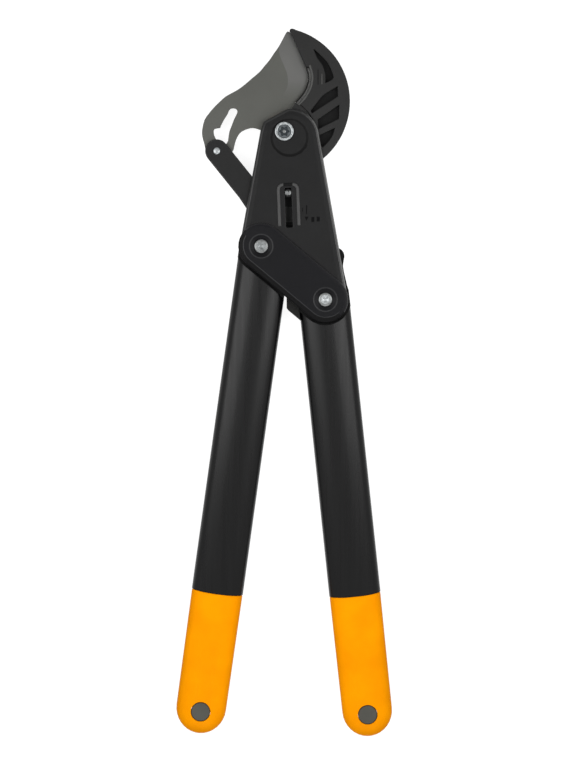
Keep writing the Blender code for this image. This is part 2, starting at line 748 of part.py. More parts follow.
def make_dowel(name, centre, material):
    half = HALF_SPACE + DOWEL_DEPTH
    solid = plate(circle(centre, DOWEL_RADIUS, DOWEL_POINTS), [], -half, half)
    return finish(add_object(name, solid, centre, material))


# Blade

def cutting_edge():
    return curve(EDGE_STRAIGHT) + curve(EDGE_CURVED)[1:]


def blade_slot():
    outline = curve(SLOT_LEFT, COARSE_STEPS) + curve(SLOT_STEP, COARSE_STEPS) + curve(SLOT_LOWER)
    outline += curve(SLOT_RIGHT, COARSE_STEPS) + curve(SLOT_TOP_ROUND, COARSE_STEPS)
    return outline


def bevel_heights(tip, edge, heel):
    """Half thicknesses along the cutting edge, which rise to the full blade at the tip and at the heel."""
    half_edge = EDGE_THICKNESS / 2
    count = tip + edge + heel
    heights = []
    for k in range(count):
        rise_start = max(0, 1 - (k + 1) / tip)
        rise_end = max(0, 1 - (count - 1 - k) / heel)
        heights.append(half_edge + (HALF_BLADE - half_edge) * max(rise_start, rise_end))
    return heights


def make_blade(material):
    back = curve(TAIL_BACK, COARSE_STEPS)
    tip = curve((TAIL_BACK[-1], *BLADE_TIP))[1:]
    edge = cutting_edge()
    heel = curve((EDGE_CURVED[-1], *BLADE_HEEL))[1:]
    hub = arc((0, 0), BLADE_HUB_RADIUS, *BLADE_HUB_ANGLES, TURN_POINTS)
    tail = curve(TAIL_INNER) + curve(TAIL_END)
    bevelled = tip + edge + heel
    heights = [HALF_BLADE] * len(back) + bevel_heights(len(tip), len(edge), len(heel))
    heights += [HALF_BLADE] * len(hub + tail)
    outline = back + bevelled + hub + tail
    bevel = curve((back[-1], *BEVEL_LINE, bevelled[-1]))[1:-1]
    holes = [turned(blade_slot(), False), turned(circle((0, 0), MAIN_BUSH_RADIUS + CLEARANCE), False)]

    points = [(x, y, z) for (x, y), z in zip(outline, heights)]
    outline_loop = list(range(len(points)))
    points += [(x, y, HALF_BLADE) for x, y in bevel]
    bevel_loop = list(range(len(outline_loop), len(points)))
    hole_loops = []
    for hole in holes:
        hole_loops.append(list(range(len(points), len(points) + len(hole))))
        points += [(x, y, HALF_BLADE) for x, y in hole]
    layer = len(points)
    points += [(x, y, -z) for x, y, z in points]

    start = len(back) - 1
    end = len(back) + len(bevelled) - 1
    flat = outline_loop[:start + 1] + bevel_loop + outline_loop[end:]
    ground = outline_loop[start:end + 1] + list(reversed(bevel_loop))
    upper = cap(points, [flat, *hole_loops]) + cap(points, [ground])
    faces = upper + [tuple(corner + layer for corner in face) for face in upper]
    for loop in (outline_loop, *hole_loops):
        for k, here in enumerate(loop):
            after = loop[(k + 1) % len(loop)]
            faces.append((here, after, after + layer, here + layer))
    return finish(add_object("blade", (points, faces), (0, 0), material))


# Anvil

def strip_side(distance):
    """The curved cutting edge moved away from the blade, from top to bottom."""
    return shifted_curve(curve(EDGE_CURVED), distance)


def anvil_outline():
    outline = list(ANVIL_TIP)
    outline += shifted_curve(curve(EDGE_STRAIGHT), STRIP_GAP)[1:]
    outline += strip_side(STRIP_GAP + STRIP_WIDTH + CLEARANCE)[1:]
    outline += list(reversed(ANVIL_SHANK))
    outline += arc(ANVIL_CENTRE, ANVIL_RADIUS, ANVIL_FOOT_ANGLE, ANVIL_TIP_ANGLE, ANVIL_ARC_POINTS)
    return outline


def make_anvil(material):
    bore = DOWEL_RADIUS + CLEARANCE
    holes = [circle(centre, bore, DOWEL_POINTS) for centre in ANVIL_DOWELS]
    edge = (ANVIL_CHAMFER, ANVIL_CHAMFER, ANVIL_CHAMFER, ANVIL_CHAMFER)
    solid = plate(anvil_outline(), holes, -HALF_INSERT, HALF_INSERT, edge)
    item = add_object("anvil_body", solid, (0, 0), material)
    for pocket in POCKETS:
        outline = outline_of_sides(pocket, COARSE_STEPS)
        cutter = plate(outline, [], ANVIL_WEB / 2, HALF_INSERT + MARGIN)
        combine(item, facing(cutter, True), (0, 0), "DIFFERENCE")
        combine(item, facing(cutter, False), (0, 0), "DIFFERENCE")
    cheek = plate(cheek_outline(), [], ARM_INNER, HALF_INSERT - 2 * ANVIL_CHAMFER)
    combine(item, facing(cheek, True), (0, 0), "UNION")
    combine(item, facing(cheek, False), (0, 0), "UNION")
    return finish(item)


def cheek_outline():
    """A plate of the anvil that lies over the blade's heel, out to the washer's rim."""
    start, end = CHEEK_ANGLES
    outline = arc((0, 0), CHEEK_RADIUS, start, end, CORNER_POINTS)
    outline += list(CHEEK_END)
    outline += arc((0, 0), WASHER_RADIUS + CLEARANCE, CHEEK_INNER_ANGLE, start, HIDDEN_POINTS // 2)
    return outline


def make_anvil_strip(material):
    near = strip_side(STRIP_GAP)
    far = strip_side(STRIP_GAP + STRIP_WIDTH)
    outline = near[1:] + list(reversed(far[1:]))
    edge = (STRIP_CHAMFER, STRIP_CHAMFER, STRIP_CHAMFER, STRIP_CHAMFER)
    half = HALF_INSERT - STRIP_SIDE_INSET
    return finish(add_object("anvil_strip", plate(outline, [], -half, half, edge), (0, 0), material))


# Push arms

def make_push_arm(name, front, material):
    outline = bent_bar((ARM_PIN, ARM_BEND, ARM_PIVOT), ARM_HALF_WIDTH)
    holes = [
        circle(ARM_PIN, PIN_RADIUS + CLEARANCE, HIDDEN_POINTS),
        circle(ARM_PIVOT, ARM_PIVOT_PIN_RADIUS + CLEARANCE, HIDDEN_POINTS),
    ]
    solid = plate(outline, holes, ARM_INNER, ARM_OUTER, (0, 0, ARM_CHAMFER, ARM_CHAMFER))
    return finish(add_object(name, facing(solid, front), ARM_PIVOT, material))


def make_arm_pin(material):
    under = ARM_OUTER + CLEARANCE
    top = under + PIN_HEAD_HEIGHT
    half = [
        (PIN_RADIUS, under),
        (PIN_HEAD_RADIUS, under),
        (PIN_HEAD_RADIUS, top - PIN_CHAMFER),
        (PIN_HEAD_RADIUS - PIN_CHAMFER, top),
    ]
    profile = [(radius, -height) for radius, height in reversed(half)] + half
    solid = turned_solid(ARM_PIN, profile, HIDDEN_POINTS)
    return finish(add_object("push_arm_pin", solid, ARM_PIVOT, material))


def make_arm_pivot_pin(material):
    solid = plate(circle(ARM_PIVOT, ARM_PIVOT_PIN_RADIUS, HIDDEN_POINTS), [], -ARM_OUTER, ARM_OUTER)
    return finish(add_object("push_arm_pivot_pin", solid, ARM_PIVOT, material))


# Tubes, grips and plugs

def section(handle, down, half_width, half_depth, scoop=0):
    """A ring across a handle. The scoop moves the front and back of the ring further down."""
    pivot, angle, shift, _ = handle
    power = 2 / SECTION_POWER
    ring = []
    for k in range(SECTION_POINTS):
        turn = 2 * math.pi * k / SECTION_POINTS
        across = math.copysign(abs(math.cos(turn)) ** power, math.cos(turn)) * half_width
        depth = math.copysign(abs(math.sin(turn)) ** power, math.sin(turn)) * half_depth
        x, y = along(pivot, angle, shift + across, down + scoop * (depth / half_depth) ** 2)
        ring.append((x, y, depth))
    return ring


def notch_cutter(radius):
    """The room round both lower bolts and between them that the handles leave free."""
    reach = TUBE_HALF_DEPTH + MARGIN
    return plate(hull(LEFT_PIVOT, radius, RIGHT_PIVOT, radius), [], -reach, reach)


def make_tube(name, handle, mover, material):
    step = handle[3] - GRIP_LENGTH
    end = step + NECK_LENGTH
    width = TUBE_HALF_WIDTH
    depth = TUBE_HALF_DEPTH
    neck_width = NECK_HALF_WIDTH
    neck_depth = NECK_HALF_DEPTH
    wall = TUBE_WALL
    rings = [
        section(handle, 0, width, depth),
        section(handle, step, width, depth, GRIP_SCOOP),
        section(handle, step + CLEARANCE, neck_width, neck_depth, GRIP_SCOOP),
        section(handle, end, neck_width, neck_depth),
        section(handle, end, neck_width - wall, neck_depth - wall),
        section(handle, step - wall, neck_width - wall, neck_depth - wall, GRIP_SCOOP),
        section(handle, step - 2 * wall, width - wall, depth - wall, GRIP_SCOOP),
        section(handle, 0, width - wall, depth - wall),
    ]
    item = add_object(name, loft(rings, True), mover, material)
    combine(item, notch_cutter(TUBE_NOTCH_RADIUS), mover, "DIFFERENCE")
    return finish(item)


def grip_rings(handle):
    """Rings from the bottom of the grip's hollow out over its mouth and down to its rounded end."""
    reach = handle[3]
    mouth = reach - GRIP_LENGTH + 2 * CLEARANCE
    hollow_end = reach - GRIP_LENGTH + NECK_LENGTH + GRIP_HOLLOW_SPARE
    inner_width = NECK_HALF_WIDTH + CLEARANCE
    inner_depth = NECK_HALF_DEPTH + CLEARANCE
    lip_width = GRIP_HALF_WIDTH - GRIP_LIP / 2
    start = mouth + GRIP_LIP
    end_start = reach - GRIP_END_LENGTH
    end_width = GRIP_HALF_WIDTH - GRIP_TAPER
    rings = [
        section(handle, hollow_end, inner_width, inner_depth),
        section(handle, mouth, inner_width, inner_depth, GRIP_SCOOP),
        section(handle, mouth, lip_width, GRIP_HALF_DEPTH - GRIP_LIP, GRIP_SCOOP),
        section(handle, start, GRIP_HALF_WIDTH, GRIP_HALF_DEPTH, GRIP_SCOOP),
    ]
    for k in range(1, GRIP_STEPS + 1):
        part = k / GRIP_STEPS
        down = start + (end_start - start) * part
        width = GRIP_HALF_WIDTH + (end_width - GRIP_HALF_WIDTH) * part
        rings.append(section(handle, down, width, GRIP_HALF_DEPTH, GRIP_SCOOP * (1 - part)))
    for k in range(1, GRIP_END_STEPS + 1):
        part = math.sin(math.radians(GRIP_END_ANGLE) * k / GRIP_END_STEPS)
        width = end_width * math.sqrt(1 - part ** 2)
        depth = GRIP_HALF_DEPTH * math.sqrt(1 - part ** 4)
        rings.append(section(handle, end_start + GRIP_END_LENGTH * part, width, depth))
    return rings


def plug_centre(handle):
    pivot, angle, shift, reach = handle
    return along(pivot, angle, shift, reach - PLUG_FROM_END)


def make_grip(name, handle, mover, material):
    item = add_object(name, loft(grip_rings(handle), False), mover, material)
    drill(item, mover, plug_centre(handle), PLUG_RADIUS + CLEARANCE, GRIP_HALF_DEPTH)
    return finish(item)


def make_plug(name, handle, mover, material):
    half = GRIP_HALF_DEPTH - PLUG_RECESS
    edge = (PLUG_CHAMFER, PLUG_CHAMFER, PLUG_CHAMFER, PLUG_CHAMFER)
    solid = plate(circle(plug_centre(handle), PLUG_RADIUS), [], -half, half, edge)
    return finish(add_object(name, solid, mover, material))


# Inserts

def add_spigot(item, handle, mover):
    """Adds the part of an insert that fills the top of its tube."""
    width = SPIGOT_HALF_WIDTH
    depth = SPIGOT_HALF_DEPTH
    rings = [
        section(handle, 0, width, depth),
        section(handle, SPIGOT_LENGTH - SPIGOT_CHAMFER, width, depth),
        section(handle, SPIGOT_LENGTH, width - SPIGOT_CHAMFER, depth - SPIGOT_CHAMFER),
    ]
    spigot = add_object("spigot", loft(rings, False), mover, None)
    combine(spigot, notch_cutter(TUBE_NOTCH_RADIUS - SPIGOT_LAP), mover, "DIFFERENCE")
    combine_objects(item, spigot, "UNION")


def hook_notch():
    """The open notch that takes the slider's foot at the end of its travel."""
    radius = SLIDER_FOOT_RADIUS + 2 * CLEARANCE
    start = SLIDER_LOWEST - 2 * HOOK_RADIUS
    return box_on_slot(0, radius, start, SLIDER_LOWEST + radius, radius * ROUND_END)


def make_left_insert(material):
    pivot, angle, shift, _ = LEFT_HANDLE
    left = shift - INSERT_HALF_WIDTH
    right = shift + INSERT_HALF_WIDTH
    left_down = math.sqrt(INSERT_RADIUS ** 2 - left ** 2)
    right_down = reach_of_line(angle, right, INSERT_RADIUS)
    start_angle = angle_from(pivot, along(pivot, angle, left, left_down))
    outline = arc(pivot, INSERT_RADIUS, start_angle, lower_angle(), TURN_POINTS // 3)
    outline.append(along(pivot, angle, right, right_down))
    outline += [along(pivot, angle, right - side, down) for side, down in LEVER_RIGHT_SHOULDER]
    outline += arc(pivot, LEVER_BOSS_RADIUS, *LEVER_BOSS_ANGLES, HIDDEN_POINTS)
    outline.append(along(pivot, angle, left, LEVER_LEFT_SHOULDER))
    item = add_object("left_insert", plate(outline, [], -HALF_INSERT, HALF_INSERT), pivot, material)
    add_spigot(item, LEFT_HANDLE, pivot)
    arm = hull(pivot, LEVER_ARM_ROOT_RADIUS, ARM_PIVOT, LEVER_ARM_RADIUS)
    combine(item, plate(arm, [], -HALF_BLADE, HALF_BLADE), pivot, "UNION")
    hook = hull(pivot, HOOK_ROOT_RADIUS, point_on_slot(0, SLIDER_LOWEST + HOOK_DROP), HOOK_RADIUS)
    combine(item, plate(hook, [], HOOK_INNER, HALF_INSERT - HIDDEN_STEP), pivot, "UNION")
    notch = plate(hook_notch(), [], HOOK_INNER - MARGIN, HALF_INSERT + MARGIN)
    combine(item, notch, pivot, "DIFFERENCE")
    drill(item, pivot, pivot, SIDE_BUSH_RADIUS + CLEARANCE, HALF_INSERT)
    drill(item, pivot, ARM_PIVOT, ARM_PIVOT_PIN_RADIUS + CLEARANCE, HALF_BLADE, HIDDEN_POINTS)
    return finish(item)


def make_right_insert(material):
    pivot, angle, shift, _ = RIGHT_HANDLE
    left = shift - INSERT_HALF_WIDTH
    right = shift + INSERT_HALF_WIDTH
    right_down = math.sqrt(INSERT_RADIUS ** 2 - right ** 2)
    left_down = reach_of_line(angle, left, INSERT_RADIUS)
    start_angle = angle_from(pivot, along(pivot, angle, right, right_down))
    lobe_centre = (pivot[0] + LOBE_OFFSET[0], pivot[1] + LOBE_OFFSET[1])
    outline = arc(pivot, INSERT_RADIUS, start_angle, lower_angle(), TURN_POINTS // 2)
    outline.append(along(pivot, angle, left, left_down))
    outline += [along(pivot, angle, left + side, down) for side, down in INSERT_LEFT_SHOULDER]
    outline += arc(lobe_centre, LOBE_RADIUS, *LOBE_ANGLES, TURN_POINTS // 2)
    outline += [along(pivot, angle, right - side, down) for side, down in INSERT_RIGHT_SHOULDER]
    item = add_object("right_insert", plate(outline, [], -HALF_INSERT, HALF_INSERT), pivot, material)
    add_spigot(item, RIGHT_HANDLE, pivot)
    reach = HALF_INSERT + MARGIN
    neck = bumper_neck(BUMPER_NECK_HALF_WIDTH + CLEARANCE)
    combine(item, plate(neck, [], -reach, reach), pivot, "DIFFERENCE")
    drill(item, pivot, bulb_centre(), BUMPER_BULB_RADIUS + CLEARANCE, HALF_INSERT, HIDDEN_POINTS)
    drill(item, pivot, pivot, SIDE_SHANK_RADIUS + CLEARANCE, HALF_INSERT)
    drill(item, pivot, INSERT_DOWEL, DOWEL_RADIUS + CLEARANCE, HALF_INSERT, DOWEL_POINTS)
    return finish(item)


# Stop bumper

def bumper_point(depth, down):
    """A point given by its depth behind the right tube's left side and its distance down the handle."""
    pivot, angle, shift, _ = RIGHT_HANDLE
    return along(pivot, angle, shift - TUBE_HALF_WIDTH - CLEARANCE + depth, down)


def bulb_centre():
    return bumper_point(BUMPER_BULB_DEPTH, BUMPER_BULB_DOWN)


def bumper_neck(half_width):
    """A bar from inside the bumper to the middle of its bulb."""
    low = BUMPER_BULB_DOWN - half_width
    high = BUMPER_BULB_DOWN + half_width
    end = BUMPER_BULB_DEPTH
    start = -BUMPER_BULB_RADIUS
    return [bumper_point(start, low), bumper_point(end, low), bumper_point(end, high), bumper_point(start, high)]


def make_bumper(material):
    pivot, angle, shift, _ = LEFT_HANDLE
    side = shift + TUBE_HALF_WIDTH
    outline = [along(pivot, angle, side + gap, down) for gap, down in BUMPER_FACE]
    outline += [bumper_point(-gap, down) for gap, down in BUMPER_BACK]
    edge = (BUMPER_CHAMFER, BUMPER_CHAMFER, BUMPER_CHAMFER, BUMPER_CHAMFER)
    solid = plate(outline, [], -HALF_INSERT, HALF_INSERT, edge)
    item = add_object("stop_bumper", solid, RIGHT_PIVOT, material)
    half = HALF_INSERT - BUMPER_BULB_MARGIN
    combine(item, plate(bumper_neck(BUMPER_NECK_HALF_WIDTH), [], -half, half), RIGHT_PIVOT, "UNION")
    bulb = plate(circle(bulb_centre(), BUMPER_BULB_RADIUS, HIDDEN_POINTS), [], -half, half)
    combine(item, bulb, RIGHT_PIVOT, "UNION")
    return finish(item)


def make_materials():
    return {
        "housing": make_material("housing", (0.035, 0.035, 0.036), 0.55, 0.0),
        "link_plate": make_material("link_plate", (0.04, 0.04, 0.042), 0.5, 0.0),
        "anvil": make_material("anvil", (0.035, 0.035, 0.035), 0.6, 0.0),
        "blade": make_material("blade", (0.10, 0.10, 0.085), 0.42, 1.0),
        "steel": make_material("zinc_steel", (0.72, 0.72, 0.70), 0.28, 1.0),
        "push_arm": make_material("push_arm", (0.030, 0.030, 0.030), 0.45, 0.0),
        "tube": make_material("tube", (0.022, 0.022, 0.023), 0.30, 0.0),
        "grip": make_material("grip", (1.0, 0.35, 0.0), 0.50, 0.0),
        "grip_plug": make_material("grip_plug", (0.11, 0.105, 0.09), 0.50, 0.0),
        "insert": make_material("insert", (0.028, 0.028, 0.028), 0.60, 0.0),
        "bumper": make_material("bumper", (0.05, 0.05, 0.05), 0.80, 0.0),
        "bush": make_material("bush", (0.45, 0.33, 0.18), 0.40, 1.0),
    }


def build():
    clear_scene()
    materials = make_materials()
    make_housing("front_housing", True, materials["housing"])
    make_housing("rear_housing", False, materials["housing"])
    make_link_plate("front_link_plate", True, materials["link_plate"])
    make_link_plate("rear_link_plate", False, materials["link_plate"])
    make_anvil(materials["anvil"])
    make_anvil_strip(materials["steel"])
    make_blade(materials["blade"])
    make_main_bolt(materials["steel"])
    make_main_nut(materials["steel"])
    main_bore = MAIN_SHANK_RADIUS + CLEARANCE
    side_bore = SIDE_SHANK_RADIUS + CLEARANCE
    make_bush("main_bush", (0, 0), MAIN_BUSH_RADIUS, main_bore, materials["bush"])
    make_bush("left_pivot_bush", LEFT_PIVOT, SIDE_BUSH_RADIUS, side_bore, materials["bush"])
    make_washer("front_blade_washer", True, materials["bush"])
    make_washer("rear_blade_washer", False, materials["bush"])
    make_side_bolt("left_pivot_bolt", LEFT_PIVOT, materials["steel"])
    make_side_bolt("right_bolt", RIGHT_PIVOT, materials["steel"])
    make_side_nut("left_pivot_nut", LEFT_PIVOT, materials["steel"])
    make_side_nut("right_nut", RIGHT_PIVOT, materials["steel"])
    make_dowel("upper_anvil_dowel", ANVIL_DOWELS[0], materials["steel"])
    make_dowel("lower_anvil_dowel", ANVIL_DOWELS[1], materials["steel"])
    make_dowel("insert_dowel", INSERT_DOWEL, materials["steel"])
    make_slider(materials["steel"])
    make_push_arm("front_push_arm", True, materials["push_arm"])
    make_push_arm("rear_push_arm", False, materials["push_arm"])
    make_arm_pin(materials["steel"])
    make_arm_pivot_pin(materials["steel"])
    make_left_insert(materials["insert"])
    make_right_insert(materials["insert"])
    make_bumper(materials["bumper"])
    make_tube("left_tube", LEFT_HANDLE, LEFT_PIVOT, materials["tube"])
    make_tube("right_tube", RIGHT_HANDLE, RIGHT_PIVOT, materials["tube"])
    make_grip("left_grip", LEFT_HANDLE, LEFT_PIVOT, materials["grip"])
    make_grip("right_grip", RIGHT_HANDLE, RIGHT_PIVOT, materials["grip"])
    make_plug("left_grip_plug", LEFT_HANDLE, LEFT_PIVOT, materials["grip_plug"])
    make_plug("right_grip_plug", RIGHT_HANDLE, RIGHT_PIVOT, materials["grip_plug"])


build()
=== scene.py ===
import json
import math

import bmesh
import bpy
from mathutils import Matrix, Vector


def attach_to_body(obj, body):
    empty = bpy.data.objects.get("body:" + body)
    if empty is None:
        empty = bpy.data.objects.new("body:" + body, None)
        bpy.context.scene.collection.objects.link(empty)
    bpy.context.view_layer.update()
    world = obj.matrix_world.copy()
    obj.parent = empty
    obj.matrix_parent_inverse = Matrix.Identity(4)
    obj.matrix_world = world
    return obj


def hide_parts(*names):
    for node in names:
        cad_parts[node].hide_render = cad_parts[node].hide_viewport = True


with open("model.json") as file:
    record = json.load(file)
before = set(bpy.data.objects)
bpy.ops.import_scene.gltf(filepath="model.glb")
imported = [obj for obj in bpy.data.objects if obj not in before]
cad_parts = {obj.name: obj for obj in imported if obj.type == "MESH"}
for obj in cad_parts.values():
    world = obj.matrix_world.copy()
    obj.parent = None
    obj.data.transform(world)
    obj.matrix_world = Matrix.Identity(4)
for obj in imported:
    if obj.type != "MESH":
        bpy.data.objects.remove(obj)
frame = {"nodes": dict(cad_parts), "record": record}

# An anvil lopper lying on its back on a pale floor, seen from above. Sizes of the tool are in millimetres,
# measured from the main pivot in the middle plane, as in the CAD model.
MM = 0.001
ORIGIN = (9.7, -152.65)
MIDDLE = 18.0

# Pivots and planes of the CAD model
LEFT_PIVOT = (-24.9, -123.9)
RIGHT_PIVOT = (44.3, -181.4)
ARM_PIN = (-72.9, -20.8)
HOUSING_FACE = 14.0
HOUSING_EDGE = 13.0
RECESS_CENTRE = (5.9, -6.7)
RECESS_RADIUS = 20.7
RECESS_FLOOR = 12.7
LINK_FACE = 18.0
LINK_EDGE = 16.9
HOOK_FACE = 8.65
ANVIL_FACE = 8.7
BLADE_HALF = 2.0
LEFT_TUBE = (LEFT_PIVOT, 7.9, 4.2)
RIGHT_TUBE = (RIGHT_PIVOT, -6.0, -1.4)
SLOT_TOP = (3.9, -60.7)
BUMPER_BACK = (14.96, -184.48)
PIVOT_WAY = (RIGHT_PIVOT[0] - LEFT_PIVOT[0], RIGHT_PIVOT[1] - LEFT_PIVOT[1])

# The cutting edge of the CAD model. The strip and the anvil's rim follow its curved part.
EDGE_STRAIGHT = ((5.5, 107.8), (10.3, 98.1), (14.8, 88.3), (22.4, 70.0))
EDGE_CURVED = ((22.4, 70.0), (25.1, 60.3), (24.0, 50.5), (19.1, 40.8), (11.6, 32.2))
CURVE_STEPS = 3

# Turned pieces: rings of radius and height, the lobes of the main bolt's socket, and the radii and the
# height between the finishes of the bolts' heads. The darker of these finishes are painted shade.
TURN_POINTS = 48
MAIN_BOLT_RINGS = (
    (4.4, -15.5), (5.0, -14.9), (5.0, 13.0), (10.2, 13.0), (10.2, 15.3), (10.05, 15.75), (9.7, 16.02),
    (9.2, 16.1), (8.0, 16.1), (7.5, 16.0), (7.1, 15.6), (6.9, 15.0),
)
SOCKET_RINGS = ((4.9, 15.0), (4.7, 14.8), (4.5, 13.5))
SOCKET_PIN_RINGS = ((1.9, 13.5), (1.8, 14.6), (1.5, 14.8), (0.8, 14.9))
SIDE_BOLT_RINGS = (
    (4.2, -16.8), (4.8, -16.2), (4.8, 14.3), (7.6, 14.3), (7.6, 16.1), (7.45, 16.6), (7.0, 17.0),
    (6.1, 17.25), (4.8, 17.37), (3.4, 17.4), (2.8, 17.25), (2.3, 16.85), (0.8, 16.75),
)
ARM_PIN_RINGS = ((2.5, 6.3), (3.8, 6.3), (3.8, 6.75), (3.5, 7.15), (2.8, 7.45), (1.8, 7.58), (0.8, 7.6))
SOCKET_LOBES = 6
SOCKET_LOBE = 0.9
SOCKET_DISC = 7.3
STAR_PIN = 2.0
STAR_TOP = 14.5
HEAD_CROWN = 5.0

# Housing: the slope of the recess's wall, the rims painted lighter as painted highlights, and the rail round
# the slot
RECESS_SLOPE = 1.9
RECESS_EXTRA_SLOPE = 1.1
RECESS_SIDE = 0.6
RECESS_RIM_UP = 0.6
RIM_SIDE = 0.15
RIM_STEEP = 0.55
RAIL_LEVEL = 14.2
RAIL_BAR = 5.0

# Sunk marks beside the slot: a tick, an arrow's shaft and head, and two small squares. What cuts them in
# starts above the face.
MARKS = (
    ((19.3, -82.4), (20.1, -82.4), (20.1, -86.4), (19.3, -86.4)),
    ((23.5, -79.6), (24.6, -79.6), (24.6, -89.2), (23.5, -89.2)),
    ((21.9, -92.0), (26.1, -92.0), (24.0, -96.4)),
    ((29.2, -92.4), (32.4, -92.4), (32.4, -97.6), (29.2, -97.6)),
    ((35.0, -92.0), (38.2, -92.0), (38.2, -97.2), (35.0, -97.2)),
)
MARK_DEPTH = 0.35
CUT_ABOVE = 1.0

# A pad inside the rear housing that shows through the slot. Its light colour is painted light there.
INNER_PAD = ((0.0, -80.6), (10.4, -80.6), (11.2, -97.4), (0.8, -97.4))
PAD_BOTTOM = -9.1
PAD_TOP = -8.85

# Slider: the top of its foot, the top of its head, and the notch there
SLIDER_ROOT = 10.0
SLIDER_TOP = 14.6
SLIDER_NOTCH = ((3.4, -63.0), (4.7, -63.0), (4.5, -65.7), (3.6, -65.7))
NOTCH_DEPTH = 0.9

# Link plate: the dishes round its bolts, how far its sloping band's inner edge moves inwards, and how far
# below the line between the bolts that is reached
DISH_RADIUS = 13.2
BAND_SHIFT = 1.0
BAND_TAPER = 14.0

# Blade and strip: the reach of the cutting edge, and the strip's lines beside it
EDGE_REACH = 0.36
STRIP_NEAR = 0.4
STRIP_SHOULDER = 1.9
STRIP_FAR = 3.87
STRIP_TOP = 7.5
STRIP_SHOULDER_DROP = 1.8

# Anvil: the raised rim beside the strip, and a sunk line and a raised lip beside the first pocket. The rim
# and the lip are painted light as painted highlights, the sunk line dark as painted shade.
POCKET_LEVEL = 2.0
RIM_NEAR = 4.1
RIM_FAR = 6.3
RIM_HEIGHT = 0.5
RIM_ROOT = 1.0
ANVIL_LINE = ((35.9, 67.0), (36.9, 67.0), (36.9, 50.6), (35.9, 50.6))
ANVIL_LIP = ((40.1, 62.4), (41.2, 62.4), (41.2, 51.0), (40.1, 51.0))
LINE_DEPTH = 0.6
LIP_HEIGHT = 0.4

# How far the bumper, the tubes' mouths and the inserts' collars reach towards their neighbours, and where
# the mouths and the collars are
BUMPER_REACH = 0.55
MOUTH_RADIUS = 28.0
MOUTH_REACH = 0.28
COLLAR_INSIDE = 20.0
COLLAR_SIDE = 27.5
COLLAR_REACH = 0.3
COLLAR_TOP = 5.0

# Rounded edges: width and number of steps
ROUNDS = {
    "housing": (2.9, 6), "face_line": (0.3, 1), "rail": (0.9, 3), "recess": (0.6, 2), "slot": (0.4, 2),
    "link": (1.3, 4), "band": (0.5, 1), "dish": (0.7, 1), "bore": (0.3, 2),
    "blade": (0.2, 2), "strip": (0.25, 2), "anvil": (0.45, 2), "rim": (0.4, 2), "lip": (0.3, 2),
    "slider": (0.5, 3), "nut": (0.25, 2), "arm": (0.4, 2),
    "insert": (0.3, 2), "tube": (0.1, 2), "bumper": (0.5, 2), "grip": (0.4, 2), "plug": (0.4, 2),
}

# Finishes of the pieces that have several, in the order of their material slots
HOUSING_FINISHES = ("housing", "housing_edge", "mark", "recess", "housing_rim", "worn_rim", "rail", "pad")
LINK_FINISHES = ("link", "link_edge", "dish", "link_skirt")
ANVIL_FINISHES = ("anvil", "anvil_edge", "pocket", "rim")
BOLT_FINISHES = ("steel", "socket", "star", "pin")
HOUSING_SLOTS = {name: slot for slot, name in enumerate(HOUSING_FINISHES)}
LINK_SLOTS = {name: slot for slot, name in enumerate(LINK_FINISHES)}
ANVIL_SLOTS = {name: slot for slot, name in enumerate(ANVIL_FINISHES)}
BOLT_SLOTS = {name: slot for slot, name in enumerate(BOLT_FINISHES)}
SECOND_SLOT = 1

# Nodes that keep their CAD shape, by finish
PLAIN_NODES = {
    "bush": ("main_bush", "left_pivot_bush", "front_blade_washer", "rear_blade_washer"),
    "steel": ("upper_anvil_dowel", "lower_anvil_dowel", "insert_dowel", "push_arm_pivot_pin"),
}

# Tolerances in millimetres and metres, limits of angles, and limits of how far a face looks up or down
TOUCH = 0.05
WELD = 0.00001
NO_LENGTH = 0.000001
FLAT_ANGLE = math.radians(0.4)
LINE_ANGLE = math.radians(4)
BEVEL_ANGLE = math.radians(35)
SHARP_ANGLE = math.radians(38)
LOOKS_UP = 0.9
BLADE_BEVEL = (0.9, 0.9995)
LINK_SLOPES = (0.3, 0.995)
STRIP_SLOPES = (0.1, 0.9)

